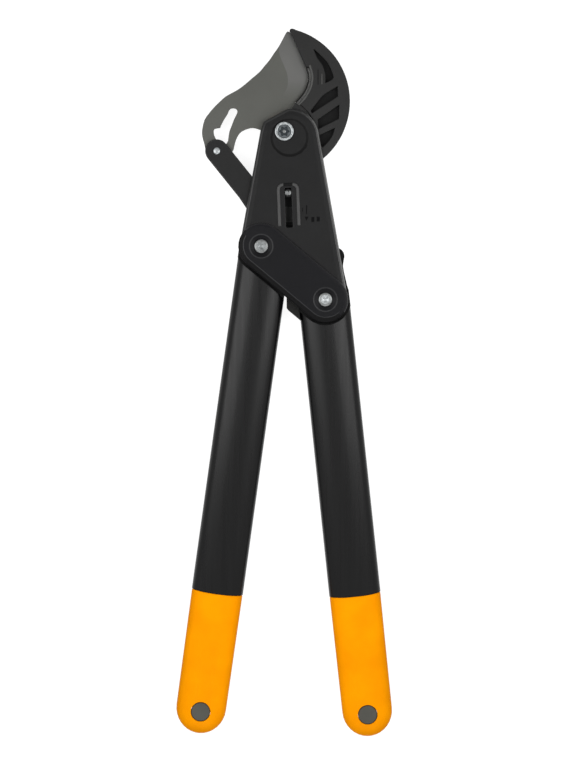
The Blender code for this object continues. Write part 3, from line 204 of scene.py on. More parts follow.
# Moulded and thickly coated finishes: name, colour, roughness, grain in cycles per metre, strength of the
# bumps, specular level, and for the grips how cloudy they are
MOULDED = {
    "housing": ("housing_plastic", (0.0052, 0.0052, 0.0054), 0.44, 1500.0, 0.22, 0.135),
    # Painted highlight: the housing's rounded edges are painted lighter than its face.
    "housing_edge": ("housing_edge", (0.009, 0.009, 0.009), 0.38, 1500.0, 0.12, 0.32),
    # Painted highlights: the housing's round where it faces right, the steepest faces lightest of all, and
    # the recess's rim.
    "housing_rim": ("housing_rim", (0.026, 0.026, 0.026), 0.40, 1500.0, 0.12, 0.34),
    "worn_rim": ("worn_rim", (0.13, 0.13, 0.128), 0.45, 1500.0, 0.12, 0.40),
    # Painted highlight: the rail round the slot is painted lighter than the face.
    "rail": ("rail_top", (0.036, 0.036, 0.0355), 0.42, 1500.0, 0.12, 0.30),
    # Painted light: the pad seen through the slot is painted light.
    "pad": ("inner_pad", (0.060, 0.060, 0.060), 0.5, 1500.0, 0.12, 0.2),
    "mark": ("sunk_mark", (0.0020, 0.0020, 0.0022), 0.6, 1500.0, 0.1, 0.05),
    # Painted shade: the recess's sloping wall and the rail's bar across the slot's top end are painted
    # darker.
    "recess": ("recess_wall", (0.0044, 0.0044, 0.0044), 0.5, 1500.0, 0.1, 0.07),
    "link": ("link_coat", (0.0034, 0.0034, 0.0044), 0.42, 1900.0, 0.16, 0.10),
    # Painted highlight and painted shade: the link plate's rounds are lighter on the upper side and darker on
    # the handles' side.
    "link_edge": ("link_edge", (0.0085, 0.0085, 0.0095), 0.36, 1900.0, 0.10, 0.22),
    "link_skirt": ("link_skirt", (0.0030, 0.0030, 0.0032), 0.45, 1900.0, 0.16, 0.07),
    "dish": ("link_dish", (0.0046, 0.0046, 0.0054), 0.34, 1900.0, 0.05, 0.07),
    "anvil": ("anvil_plastic", (0.0088, 0.0088, 0.0086), 0.46, 1500.0, 0.24, 0.20),
    # Painted highlight: the anvil's rounded edges, rim and lip are lighter. Painted shade: its pocket floors
    # and sunk line are darker.
    "anvil_edge": ("anvil_edge", (0.022, 0.022, 0.021), 0.38, 1500.0, 0.14, 0.42),
    "rim": ("anvil_rim", (0.044, 0.044, 0.042), 0.38, 1500.0, 0.14, 0.34),
    "pocket": ("anvil_pocket", (0.006, 0.006, 0.006), 0.60, 1500.0, 0.24, 0.10),
    "insert": ("insert_plastic", (0.0035, 0.0035, 0.0035), 0.55, 1300.0, 0.25, 0.07),
    # Painted light: the hook's top, seen in the slot, is painted lighter than the insert.
    "hook": ("hook_plastic", (0.05, 0.05, 0.048), 0.5, 1300.0, 0.25, 0.2),
    "rubber": ("bumper_rubber", (0.010, 0.010, 0.0095), 0.72, 1100.0, 0.35, 0.12),
    "arm": ("arm_coat", (0.0068, 0.0068, 0.0068), 0.40, 1700.0, 0.14, 0.15),
    # Painted highlight: the push arms' rounded edges are painted lighter.
    "arm_edge": ("arm_edge", (0.014, 0.014, 0.014), 0.36, 1700.0, 0.10, 0.42),
    "grip": ("grip_plastic", (0.99, 0.318, 0.0), 0.46, 1200.0, 0.14, 0.02, 0.08),
    "plug": ("plug_plastic", (0.072, 0.071, 0.060), 0.55, 1000.0, 0.25, 0.25),
}

# Metal finishes, all but the last of them zinc plate or bare steel: name, colour and roughness
PLATED = {
    "steel": ("zinc_plate", (0.295, 0.31, 0.315), 0.30),
    "head": ("zinc_head", (0.29, 0.305, 0.31), 0.34),
    "dull_head": ("dull_head", (0.168, 0.177, 0.179), 0.36),
    "pin": ("zinc_pin", (0.16, 0.165, 0.165), 0.36),
    # Painted shade: the main bolt's socket is darker, and darkest deep down.
    "socket": ("socket_painted_shade", (0.078, 0.086, 0.091), 0.40),
    "star": ("star_painted_shade", (0.030, 0.035, 0.038), 0.42),
    "edge_steel": ("strip_steel", (0.066, 0.066, 0.064), 0.34),
    # Painted shade: the strip's shoulder beside the blade is darker.
    "shoulder": ("strip_shoulder_painted_shade", (0.030, 0.030, 0.029), 0.40),
    "bush": ("bush_bronze", (0.45, 0.33, 0.18), 0.36),
}

# The tubes' finish: name, colour, roughness and specular level
TUBE_COAT = ("tube_coat", (0.0010, 0.0010, 0.0011), 0.28, 0.205)

# The blade's finishes: name, colour, roughness, the turn of the marks in radians and their strength. The
# bevel fades into the blade's colour between two heights.
BLADE_COLOUR = (0.062, 0.063, 0.055)
BLADE_COAT = ("blade_coat", BLADE_COLOUR, 0.44, 0.9, 0.10)
BEVEL_COAT = ("blade_bevel", (0.090, 0.090, 0.086), 0.38, 2.2, 0.16, BLADE_COLOUR)
FADE_LEVELS = (38.0, 56.0)
BLADE_SPECULAR = 0.35

# Noises: cycles per metre, detail and roughness. A grain's cycles come with its finish. Most values of a
# noise lie in its range.
FLOW = (30.0, 4.0, 0.5)
GRAIN = (3.0, 0.6)
RIPPLE = (520.0, 2.0, 0.4)
DRAWN = (260.0, 3.0, 0.5)
TUBE_CLOUD = (14.0, 3.0, 0.5)
GROUND = (900.0, 4.0, 0.6)
BLADE_CLOUD = (22.0, 4.0, 0.55)
ZINC_CLOUD = (420.0, 4.0, 0.6)
SCRATCH = (1800.0, 3.0, 0.6)
NOISE_RANGE = (0.3, 0.7)
WHOLE_RANGE = (0.0, 1.0)

# How long marks are drawn out, and the scratches' turn in radians
DRAWN_STRETCH = (1.0, 0.03, 1.0)
GROUND_STRETCH = (1.0, 0.04, 1.0)
SCRATCH_STRETCH = (1.0, 0.08, 1.0)
SCRATCH_TURN = 0.6

# Factors of the darkest and lightest colour, and how far the roughness goes below and above its middle
CLOUDY = 0.15
TUBE_TINTS = (0.9, 1.1)
BLADE_TINTS = (0.92, 1.07)
ZINC_TINTS = (0.66, 1.16)
GRAIN_GLOSS = (0.06, 0.08)
TUBE_GLOSS = (0.03, 0.05)
BLADE_GLOSS = (0.08, 0.10)
ZINC_GLOSS = (0.08, 0.12)

# Bumps: depths in metres, and strengths
GRAIN_DEPTH = 0.0002
SCRATCH_DEPTH = 0.0001
RIPPLE_STRENGTH = 0.10
SCRATCH_STRENGTH = 0.12

# Camera: the image and the main pivot's place in it in pixels, the scale and the height at which it holds in
# millimetres, the distance and the clipping range in metres, and the sensor in millimetres
IMAGE = (580, 773)
MM_PER_PIXEL = 1.08
PIVOT_PIXEL = (284.3, 131.8)
VIEW_HEIGHT = 20.0
CAMERA_DISTANCE = 6.0
CAMERA_RANGE = (0.1, 50.0)
SENSOR = 36.0

# World and floor: the world's strength as light and as seen, and the floor's size and drop in metres, its
# colour, and its glow as seen
WORLD_FILL = 0.44
WORLD_SHOWN = 1.0
FLOOR_HALF = 3.0
FLOOR_DROP = 0.0003
FLOOR_COLOUR = (0.36, 0.36, 0.36)
FLOOR_GLOW = 0.85

# Soft boxes: place, target and size in metres, and the radiance of their surface
LAMPS = (
    ("left_box", (-0.44, 0.06, 0.68), (-0.05, 0.04, 0.02), (0.40, 0.62), 4.0),
    ("right_box", (0.44, 0.06, 0.68), (0.05, 0.04, 0.02), (0.40, 0.62), 4.0),
    ("low_box", (0.0, -1.15, 1.0), (0.0, -0.42, 0.02), (0.6, 0.4), 6.5),
)


def place(x, y, z=0.0):
    """A point of the tool in world metres."""
    return Vector(((x - ORIGIN[0]) * MM, (y - ORIGIN[1]) * MM, (z + MIDDLE) * MM))


# Materials

def shader_of(name):
    material = bpy.data.materials.new(name)
    material.use_nodes = True
    return material, material.node_tree, material.node_tree.nodes["Principled BSDF"]


def coordinates(tree, stretch=(1.0, 1.0, 1.0), turn=0.0):
    """The piece's own coordinates in metres, turned and stretched."""
    source = tree.nodes.new("ShaderNodeTexCoord")
    mapping = tree.nodes.new("ShaderNodeMapping")
    mapping.inputs["Scale"].default_value = stretch
    mapping.inputs["Rotation"].default_value = (0.0, 0.0, turn)
    tree.links.new(source.outputs["Object"], mapping.inputs["Vector"])
    return mapping.outputs["Vector"]


def noise(tree, vector, scale, detail, roughness):
    node = tree.nodes.new("ShaderNodeTexNoise")
    node.inputs["Scale"].default_value = scale
    node.inputs["Detail"].default_value = detail
    node.inputs["Roughness"].default_value = roughness
    tree.links.new(vector, node.inputs["Vector"])
    return node.outputs["Fac"]


def spread(tree, value, low, high, source=NOISE_RANGE):
    """Maps a value from its own range, which is that of noise unless given, to another."""
    node = tree.nodes.new("ShaderNodeMapRange")
    node.inputs["From Min"].default_value = source[0]
    node.inputs["From Max"].default_value = source[1]
    node.inputs["To Min"].default_value = low
    node.inputs["To Max"].default_value = high
    tree.links.new(value, node.inputs["Value"])
    return node.outputs["Result"]


def blended(tree, factor, first, second):
    """Mixes two colours, each of them a tuple or a socket."""
    node = tree.nodes.new("ShaderNodeMix")
    node.data_type = "RGBA"
    colour_inputs = [socket for socket in node.inputs if socket.type == "RGBA"]
    for socket, colour in zip(colour_inputs, (first, second)):
        if isinstance(colour, tuple):
            socket.default_value = (*colour, 1.0)
        else:
            tree.links.new(colour, socket)
    tree.links.new(factor, node.inputs[0])
    return [socket for socket in node.outputs if socket.type == "RGBA"][0]


def tinted(colour, factor):
    return tuple(min(1.0, part * factor) for part in colour)


def clouded(tree, value, colour, factors):
    """The colour, made darker and lighter by a value."""
    darkest, lightest = [tinted(colour, factor) for factor in factors]
    return blended(tree, spread(tree, value, *WHOLE_RANGE), darkest, lightest)


def vary_gloss(tree, shader, value, rough, reach):
    """The roughness goes below and above its middle by a value."""
    result = spread(tree, value, rough - reach[0], rough + reach[1])
    tree.links.new(result, shader.inputs["Roughness"])


def bumped(tree, shader, height, strength, depth):
    node = tree.nodes.new("ShaderNodeBump")
    node.inputs["Strength"].default_value = strength
    node.inputs["Distance"].default_value = depth
    tree.links.new(height, node.inputs["Height"])
    tree.links.new(node.outputs["Normal"], shader.inputs["Normal"])


def moulded(name, colour, rough, cycles, strength, specular, cloudy=CLOUDY):
    """Moulded plastic or a thick coat: a fine grain in height and gloss, and faint flow marks in colour."""
    material, tree, shader = shader_of(name)
    vector = coordinates(tree)
    flow = noise(tree, vector, *FLOW)
    fine = noise(tree, vector, cycles, *GRAIN)
    base = clouded(tree, flow, colour, (1.0 - cloudy, 1.0 + cloudy))
    tree.links.new(base, shader.inputs["Base Color"])
    vary_gloss(tree, shader, fine, rough, GRAIN_GLOSS)
    shader.inputs["Specular IOR Level"].default_value = specular
    bumped(tree, shader, fine, strength, GRAIN_DEPTH)
    return material


def coated(name, colour, rough, specular):
    """Powder coat on a drawn tube: an even skin with a shallow ripple and faint lengthways marks."""
    material, tree, shader = shader_of(name)
    vector = coordinates(tree)
    ripple = noise(tree, vector, *RIPPLE)
    drawn = noise(tree, coordinates(tree, DRAWN_STRETCH), *DRAWN)
    cloud = noise(tree, vector, *TUBE_CLOUD)
    tree.links.new(clouded(tree, cloud, colour, TUBE_TINTS), shader.inputs["Base Color"])
    vary_gloss(tree, shader, drawn, rough, TUBE_GLOSS)
    shader.inputs["Specular IOR Level"].default_value = specular
    bumped(tree, shader, ripple, RIPPLE_STRENGTH, GRAIN_DEPTH)
    return material


def blade_coat(name, colour, rough, turn, strength, faded=None):
    """Dark coated steel with fine marks along one direction. It may fade into another colour at its foot."""
    material, tree, shader = shader_of(name)
    marks = noise(tree, coordinates(tree, GROUND_STRETCH, turn), *GROUND)
    cloud = noise(tree, coordinates(tree), *BLADE_CLOUD)
    base = clouded(tree, cloud, colour, BLADE_TINTS)
    if faded:
        split = tree.nodes.new("ShaderNodeSeparateXYZ")
        tree.links.new(coordinates(tree), split.inputs["Vector"])
        levels = [place(0.0, level).y for level in FADE_LEVELS]
        base = blended(tree, spread(tree, split.outputs["Y"], *WHOLE_RANGE, levels), faded, base)
    tree.links.new(base, shader.inputs["Base Color"])
    vary_gloss(tree, shader, marks, rough, BLADE_GLOSS)
    shader.inputs["Specular IOR Level"].default_value = BLADE_SPECULAR
    bumped(tree, shader, marks, strength, SCRATCH_DEPTH)
    return material


def plated(name, colour, rough):
    """Bright metal with small cloudy patches and fine scratches."""
    material, tree, shader = shader_of(name)
    cloud = noise(tree, coordinates(tree), *ZINC_CLOUD)
    scratch = noise(tree, coordinates(tree, SCRATCH_STRETCH, SCRATCH_TURN), *SCRATCH)
    tree.links.new(clouded(tree, cloud, colour, ZINC_TINTS), shader.inputs["Base Color"])
    vary_gloss(tree, shader, cloud, rough, ZINC_GLOSS)
    shader.inputs["Metallic"].default_value = 1.0
    bumped(tree, shader, scratch, SCRATCH_STRENGTH, SCRATCH_DEPTH)
    return material


def make_materials():
    """A material for each finish, by the finish's short name."""
    materials = {finish: moulded(*values) for finish, values in MOULDED.items()}
    materials["tube"] = coated(*TUBE_COAT)
    materials["blade"] = blade_coat(*BLADE_COAT)
    materials["bevel"] = blade_coat(*BEVEL_COAT)
    materials.update({finish: plated(*values) for finish, values in PLATED.items()})
    return materials


# Plane geometry, in millimetres

def spline_value(before, start, end, after, t):
    slope = (end - before) * t
    bend = (2 * before - 5 * start + 4 * end - after) * t * t
    twist = (3 * start - before - 3 * end + after) * t * t * t
    return start + (slope + bend + twist) / 2


def curve(points):
    """A smooth curve through the points, both ends included."""
    found = []
    last = len(points) - 1
    for k in range(last):
        before = points[max(k - 1, 0)]
        start = points[k]
        end = points[k + 1]
        after = points[min(k + 2, last)]
        for step in range(CURVE_STEPS):
            t = step / CURVE_STEPS
            found.append(tuple(spline_value(before[i], start[i], end[i], after[i], t) for i in (0, 1)))
    found.append(tuple(points[last]))
    return found


def left_normal(here, after):
    """The unit vector to the left of the way from here to after."""
    x = after[0] - here[0]
    y = after[1] - here[1]
    length = math.hypot(x, y)
    return (-y / length, x / length)


def shifted_curve(points, distance):
    """Moves an open curve to its left by the distance."""
    found = []
    last = len(points) - 1
    for k, point in enumerate(points):
        first = left_normal(points[max(k - 1, 0)], points[max(k, 1)])
        second = left_normal(points[min(k, last - 1)], points[min(k + 1, last)])
        scale = distance / (1 + first[0] * second[0] + first[1] * second[1])
        found.append((point[0] + (first[0] + second[0]) * scale, point[1] + (first[1] + second[1]) * scale))
    return found


def in_tool(point):
    """A world point in the tool's millimetres."""
    return (point.x / MM + ORIGIN[0], point.y / MM + ORIGIN[1], point.z / MM - MIDDLE)


# Pieces copied from CAD nodes

def welded_copy(node):
    """A copy of a node's mesh, with its corners welded and its flat faces joined."""
    working = bmesh.new()
    working.from_mesh(frame["nodes"][node].data)
    bmesh.ops.remove_doubles(working, verts=working.verts, dist=WELD)
    bmesh.ops.dissolve_limit(
        working, angle_limit=FLAT_ANGLE, verts=working.verts, edges=working.edges
    )
    working.normal_update()
    return working


def edges_between(working, least, most, chosen=None):
    """Edges whose angle lies between two limits and whose middle passes the test, if there is one."""
    found = []
    for edge in working.edges:
        if not edge.is_manifold:
            continue
        angle = edge.calc_face_angle()
        if not least < angle < most:
            continue
        middle = in_tool((edge.verts[0].co + edge.verts[1].co) / 2)
        if chosen is None or chosen(*middle):
            found.append(edge)
    return found


def sharp_edges(working):
    return edges_between(working, BEVEL_ANGLE, math.pi)


def round_edges(working, edges, kind, slot=-1, clamped=True):
    """Rounds the edges. The new faces get the material in the slot, or their neighbours' with -1."""
    width, steps = ROUNDS[kind]
    bmesh.ops.bevel(
        working, geom=edges, offset=width * MM, offset_type="OFFSET", segments=steps, profile=0.5,
        affect="EDGES", clamp_overlap=clamped, material=slot,
    )
    working.normal_update()


def extruded(outline, bottom, top):
    """A straight-sided solid on an outline, in millimetres."""
    working = bmesh.new()
    low = [working.verts.new(place(x, y, bottom)) for x, y in outline]
    high = [working.verts.new(place(x, y, top)) for x, y in outline]
    working.faces.new(low)
    working.faces.new(high)
    for k in range(len(outline)):
        after = (k + 1) % len(outline)
        working.faces.new((low[k], low[after], high[after], high[k]))
    bmesh.ops.recalc_face_normals(working, faces=working.faces)
    return working


def object_from(working, name, materials):
    mesh = bpy.data.meshes.new(name)
    working.to_mesh(mesh)
    working.free()
    for material in materials:
        mesh.materials.append(material)
    item = bpy.data.objects.new(name, mesh)
    bpy.context.scene.collection.objects.link(item)
    return item


def combine(item, working, operation, slot):
    """Applies a Boolean with another solid, whose faces have the material in the slot."""
    for face in working.faces:
        face.material_index = slot
    tool = object_from(working, "tool", list(item.data.materials))
    change = item.modifiers.new("combine", "BOOLEAN")
    change.operation = operation
    change.solver = "EXACT"
    change.object = tool
    bpy.context.view_layer.update()
    graph = bpy.context.evaluated_depsgraph_get()
    result = bpy.data.meshes.new_from_object(item.evaluated_get(graph))
    item.modifiers.clear()
    old = item.data
    item.data = result
    result.name = item.name
    bpy.data.meshes.remove(old)
    tool_mesh = tool.data
    bpy.data.objects.remove(tool, do_unlink=True)
    bpy.data.meshes.remove(tool_mesh)


def smooth(item):
    """Takes out faces without area, and shades the piece smooth between its sharp edges."""
    working = bmesh.new()
    working.from_mesh(item.data)
    bmesh.ops.dissolve_degenerate(working, dist=NO_LENGTH, edges=working.edges)
    working.to_mesh(item.data)
    working.free()
    item.data.shade_smooth()
    item.data.set_sharp_from_angle(angle=SHARP_ANGLE)
    weighted = item.modifiers.new("normals", "WEIGHTED_NORMAL")
    weighted.keep_sharp = True


def body_of_node(node):
    for body, members in frame["record"]["behaviour"]["bodies"].items():
        if node in members:
            return body
    return None


def attach(item, node):
    """The piece stands for the node and rides on its body."""
    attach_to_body(item, body_of_node(node))
    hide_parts(node)


def finish_piece(item, node):
    smooth(item)
    attach(item, node)


def piece_from(working, node, materials):
    """The finished piece that stands for a node."""
    item = object_from(working, "shown_" + node, materials)
    finish_piece(item, node)
    return item


def dress(node, materials, kind, slot=-1):
    """A copy of a node with rounded edges."""
    working = welded_copy(node)
    round_edges(working, sharp_edges(working), kind, slot)
    piece_from(working, node, materials)


# Choosing, painting and moving

def middle_of(face):
    return in_tool(face.calc_center_median())


def at_level(z, level):
    """At that distance in front of the middle plane, or behind it."""
    return abs(abs(z) - level) < TOUCH


def reach_from(centre, x, y):
    return math.hypot(x - centre[0], y - centre[1])


def paint(working, chosen, slot=SECOND_SLOT):
    """The faces that the test chooses get the material in the slot."""
    for face in working.faces:
        if chosen(face):
            face.material_index = slot


def move(vertex, way, distance):
    """Moves a vertex in the plane, along a direction and by a distance."""
    vertex.co.x += way[0] * distance * MM
    vertex.co.y += way[1] * distance * MM


def in_pocket(face):
    """Floors of the anvil's pockets, which are painted darker as painted shade."""
    return abs(middle_of(face)[2]) < POCKET_LEVEL and abs(face.normal.z) > LOOKS_UP


def below_face(face):
    """Faces of the slider's foot, under the housing's face, which are painted dark as painted shade."""
    return middle_of(face)[2] < SLIDER_ROOT


def on_hook(face):
    """The top of the lever's hook, which shows in the slot. It is painted lighter, as painted light in the
    slot.
    """
    return abs(middle_of(face)[2] - HOOK_FACE) < TOUCH and face.normal.z > LOOKS_UP


def on_bevel(face):
    """Faces of the blade's ground bevel."""
    return BLADE_BEVEL[0] < abs(face.normal.z) < BLADE_BEVEL[1]


def on_shoulder(face):
    """Faces of the strip's sloping shoulder, which are painted darker as painted shade beside the blade."""
    return STRIP_SLOPES[0] < abs(face.normal.z) < STRIP_SLOPES[1]


# Housings

def recess_slope(x, y):
    """How far the recess's wall slopes inwards. It is steepest beside the bolt's head."""
    reach = reach_from(RECESS_CENTRE, x, y)
    to_bolt = math.hypot(*RECESS_CENTRE)
    away = (x - RECESS_CENTRE[0]) * RECESS_CENTRE[0] + (y - RECESS_CENTRE[1]) * RECESS_CENTRE[1]
    return RECESS_SLOPE + RECESS_EXTRA_SLOPE * (1 + away / reach / to_bolt) / 2


def slope_recess(working):
    """The recess's wall slopes inwards and is painted darker, as painted shade."""
    for vertex in working.verts:
        x, y, z = in_tool(vertex.co)
        if at_level(z, RECESS_FLOOR) and abs(reach_from(RECESS_CENTRE, x, y) - RECESS_RADIUS) < TOUCH:
            inwards = (RECESS_CENTRE[0] - x, RECESS_CENTRE[1] - y)
            move(vertex, inwards, recess_slope(x, y) / RECESS_RADIUS)
    working.normal_update()
    for face in working.faces:
        x, y, z = middle_of(face)
        inside = reach_from(RECESS_CENTRE, x, y) < RECESS_RADIUS
        if inside and RECESS_FLOOR + TOUCH < abs(z) < HOUSING_FACE - TOUCH:
            face.material_index = HOUSING_SLOTS["recess"]


def round_outside(working):
    """A wide round along the outer edges, painted lighter as a painted highlight and lightest where it faces
    right, and narrow ones along the face's lines.
    """
    plain = HOUSING_SLOTS["housing_edge"]
    outer = edges_between(working, BEVEL_ANGLE, math.pi, lambda x, y, z: at_level(z, HOUSING_EDGE))
    round_edges(working, outer, "housing", plain)
    # Painted highlight: faces of the round that face right are painted lighter, the steepest lightest.
    for face in working.faces:
        if face.material_index == plain and face.normal.x > RIM_SIDE:
            painted_highlight_finish = "worn_rim" if face.normal.x > RIM_STEEP else "housing_rim"
            face.material_index = HOUSING_SLOTS[painted_highlight_finish]
    lines = edges_between(working, LINE_ANGLE, BEVEL_ANGLE, lambda x, y, z: at_level(z, HOUSING_FACE))
    round_edges(working, lines, "face_line")


def faces_in_slot(working, slot):
    return [face for face in working.faces if face.material_index == slot]


def cut_across(working, faces, x):
    """Splits the faces where they cross a lengthways line."""
    parts = set(faces)
    for face in faces:
        parts.update(face.edges)
        parts.update(face.verts)
    bmesh.ops.bisect_plane(working, geom=list(parts), plane_co=place(x, 0.0), plane_no=(1.0, 0.0, 0.0))


def in_rail_bar(face):
    """The part of the rail across the slot's top end, which is painted dark as painted shade."""
    x, y, _ = middle_of(face)
    return abs(x - SLOT_TOP[0]) < RAIL_BAR and y > SLOT_TOP[1]


def shape_rail(working):
    """The rail round the slot is rounded. It is painted light as a painted highlight, with a bar across the
    slot's top end painted dark as painted shade.
    """
    rail = HOUSING_SLOTS["rail"]
    paint(working, lambda face: abs(middle_of(face)[2]) > RAIL_LEVEL, rail)
    for side in (-RAIL_BAR, RAIL_BAR):
        cut_across(working, faces_in_slot(working, rail), SLOT_TOP[0] + side)
    tops = edges_between(working, BEVEL_ANGLE, math.pi, lambda x, y, z: abs(z) > HOUSING_FACE + TOUCH)
    round_edges(working, tops, "rail", rail)
    for face in faces_in_slot(working, rail):
        if in_rail_bar(face):
            face.material_index = HOUSING_SLOTS["recess"]


def round_recess(working):
    """The recess's rim is rounded and painted lighter as a painted highlight, most at its left and right
    sides.
    """
    rim = HOUSING_SLOTS["housing_rim"]
    edges = edges_between(
        working, BEVEL_ANGLE / 2, math.pi,
        lambda x, y, z: at_level(z, HOUSING_FACE)
        and abs(reach_from(RECESS_CENTRE, x, y) - RECESS_RADIUS) < 4 * TOUCH,
    )
    round_edges(working, edges, "recess", rim)
    for face in faces_in_slot(working, rim):
        across = (middle_of(face)[0] - RECESS_CENTRE[0]) / RECESS_RADIUS
        if abs(across) < RECESS_SIDE and face.normal.z > RECESS_RIM_UP:
            face.material_index = HOUSING_SLOTS["housing_edge"]


def dress_housing(node, materials, marks, pads):
    """A housing with its rounds, its recess and its rail. Marks are cut into its face, and pads are added,
    painted light as painted light seen through the slot.
    """
    working = welded_copy(node)
    slope_recess(working)
    round_outside(working)
    shape_rail(working)
    round_recess(working)
    # The slot's rounded edges are painted lighter too, as a painted highlight.
    sharp = edges_between(working, BEVEL_ANGLE, math.pi, lambda x, y, z: at_level(z, HOUSING_FACE))
    round_edges(working, [edge for edge in sharp if edge.is_convex], "slot", HOUSING_SLOTS["housing_edge"])
    item = object_from(working, "shown_" + node, materials)
    for outline in marks:
        mark = extruded(outline, HOUSING_FACE - MARK_DEPTH, HOUSING_FACE + CUT_ABOVE)
        combine(item, mark, "DIFFERENCE", HOUSING_SLOTS["mark"])
    for outline in pads:
        combine(item, extruded(outline, PAD_BOTTOM, PAD_TOP), "UNION", HOUSING_SLOTS["pad"])
    finish_piece(item, node)


# Link plates

def depth_below_pivots(x, y):
    """How far a point lies on the handles' side of the line between the lower bolts."""
    across = PIVOT_WAY[1] * (x - LEFT_PIVOT[0]) - PIVOT_WAY[0] * (y - LEFT_PIVOT[1])
    return across / math.hypot(*PIVOT_WAY)


def below_pivots(x, y):
    return depth_below_pivots(x, y) > 0


def pivot_line_near(x, y):
    """The nearest point on the line between the lower bolts, and how far away it is."""
    along = (x - LEFT_PIVOT[0]) * PIVOT_WAY[0] + (y - LEFT_PIVOT[1]) * PIVOT_WAY[1]
    part = min(max(along / (PIVOT_WAY[0] ** 2 + PIVOT_WAY[1] ** 2), 0.0), 1.0)
    near = (LEFT_PIVOT[0] + PIVOT_WAY[0] * part, LEFT_PIVOT[1] + PIVOT_WAY[1] * part)
    return near, reach_from(near, x, y)


def move_inwards(vertex, distance):
    """Moves a vertex towards the line between the lower bolts."""
    x, y, _ = in_tool(vertex.co)
    near, reach = pivot_line_near(x, y)
    move(vertex, ((near[0] - x) / reach, (near[1] - y) / reach), distance)


def off_dishes(x, y):
    return min(reach_from(pivot, x, y) for pivot in (LEFT_PIVOT, RIGHT_PIVOT)) > DISH_RADIUS


def shift_band(working):
    """The inner edge of the sloping band moves inwards, less and less towards its two ends."""
    for vertex in working.verts:
        x, y, z = in_tool(vertex.co)
        if at_level(z, LINK_FACE) and below_pivots(x, y) and off_dishes(x, y):
            move_inwards(vertex, BAND_SHIFT * min(depth_below_pivots(x, y) / BAND_TAPER, 1.0))
    working.normal_update()


def paint_slopes(working):
    """The dishes have their own finish, and the band on the handles' side is painted darker as painted shade.
    """
    for face in working.faces:
        x, y, _ = middle_of(face)
        if not LINK_SLOPES[0] < abs(face.normal.z) < LINK_SLOPES[1]:
            continue
        if not off_dishes(x, y):
            face.material_index = LINK_SLOTS["dish"]
        elif below_pivots(x, y):
            face.material_index = LINK_SLOTS["link_skirt"]


def dress_link_plate(node, materials):
    """The outer edge has a wide round, and the edges of the band and of the dishes have narrow ones. The wide
    round is painted dark on the handles' side as painted shade and lighter elsewhere as a painted highlight,
    and the narrow ones are painted lighter too.
    """
    working = welded_copy(node)
    shift_band(working)
    paint_slopes(working)
    edge = LINK_SLOTS["link_edge"]
    for low, slot in ((True, LINK_SLOTS["link_skirt"]), (False, edge)):
        outer = edges_between(
            working, BEVEL_ANGLE, math.pi,
            lambda x, y, z: at_level(z, LINK_EDGE) and below_pivots(x, y) == low,
        )
        round_edges(working, outer, "link", slot)
    band = edges_between(
        working, LINE_ANGLE, BEVEL_ANGLE,
        lambda x, y, z: at_level(z, LINK_FACE) and below_pivots(x, y) and off_dishes(x, y),
    )
    round_edges(working, band, "band", edge, False)
    dishes = edges_between(
        working, LINE_ANGLE, BEVEL_ANGLE,
        lambda x, y, z: at_level(z, LINK_FACE) and not off_dishes(x, y),
    )
    round_edges(working, dishes, "dish", edge)
    round_edges(working, sharp_edges(working), "bore")
    piece_from(working, node, materials)


# Blade, anvil, strip and slider

def dress_blade(materials):
    """The cutting edge reaches out to the anvil's strip."""
    working = welded_copy("blade")
    paint(working, on_bevel)
    edge = curve(EDGE_STRAIGHT) + curve(EDGE_CURVED)[1:]
    moved = shifted_curve(edge, EDGE_REACH)
    for vertex in working.verts:
        x, y, z = in_tool(vertex.co)
        for here, there in zip(edge, moved):
            if reach_from(here, x, y) < TOUCH and abs(z) < BLADE_HALF:
                vertex.co.xy = place(*there).xy
    working.normal_update()
    round_edges(working, sharp_edges(working), "blade")
    piece_from(working, "blade", materials)


def dress_anvil(materials):
    """Rounded pockets, a raised rim beside the strip, and a lip and a sunk line beside the first pocket. The
    rounded edges, the rim and the lip are painted light as painted highlights, and the pockets' floors and
    the sunk line dark as painted shade.
    """
    working = welded_copy("anvil_body")
    paint(working, in_pocket, ANVIL_SLOTS["pocket"])
    round_edges(working, sharp_edges(working), "anvil", ANVIL_SLOTS["anvil_edge"])
    item = object_from(working, "shown_anvil_body", materials)
    edge = curve(EDGE_CURVED)
    rim_outline = shifted_curve(edge, RIM_NEAR) + list(reversed(shifted_curve(edge, RIM_FAR)))
    for side in (1, -1):
        for outline, height, kind in ((rim_outline, RIM_HEIGHT, "rim"), (ANVIL_LIP, LIP_HEIGHT, "lip")):
            ridge = extruded(outline, side * (ANVIL_FACE - RIM_ROOT), side * (ANVIL_FACE + height))
            round_edges(ridge, sharp_edges(ridge), kind)
            combine(item, ridge, "UNION", ANVIL_SLOTS["rim"])
        line = extruded(ANVIL_LINE, side * (ANVIL_FACE - LINE_DEPTH), side * (ANVIL_FACE + RIM_HEIGHT))
        combine(item, line, "DIFFERENCE", ANVIL_SLOTS["pocket"])
    finish_piece(item, "anvil_body")


def strip_rings():
    """Corners of the strip's cross sections, along the cutting edge."""
    edge = curve(EDGE_CURVED)
    near = shifted_curve(edge, STRIP_NEAR)
    shoulder = shifted_curve(edge, STRIP_SHOULDER)
    far = shifted_curve(edge, STRIP_FAR)
    side = STRIP_TOP - STRIP_SHOULDER_DROP
    rings = []
    for k in range(len(edge)):
        start = max(k, 1)
        ring = (
            (near[k], -side), (near[k], side), (shoulder[start], STRIP_TOP),
            (far[start], STRIP_TOP), (far[start], -STRIP_TOP), (shoulder[start], -STRIP_TOP),
        )
        rings.append([place(x, y, z) for (x, y), z in ring])
    return rings


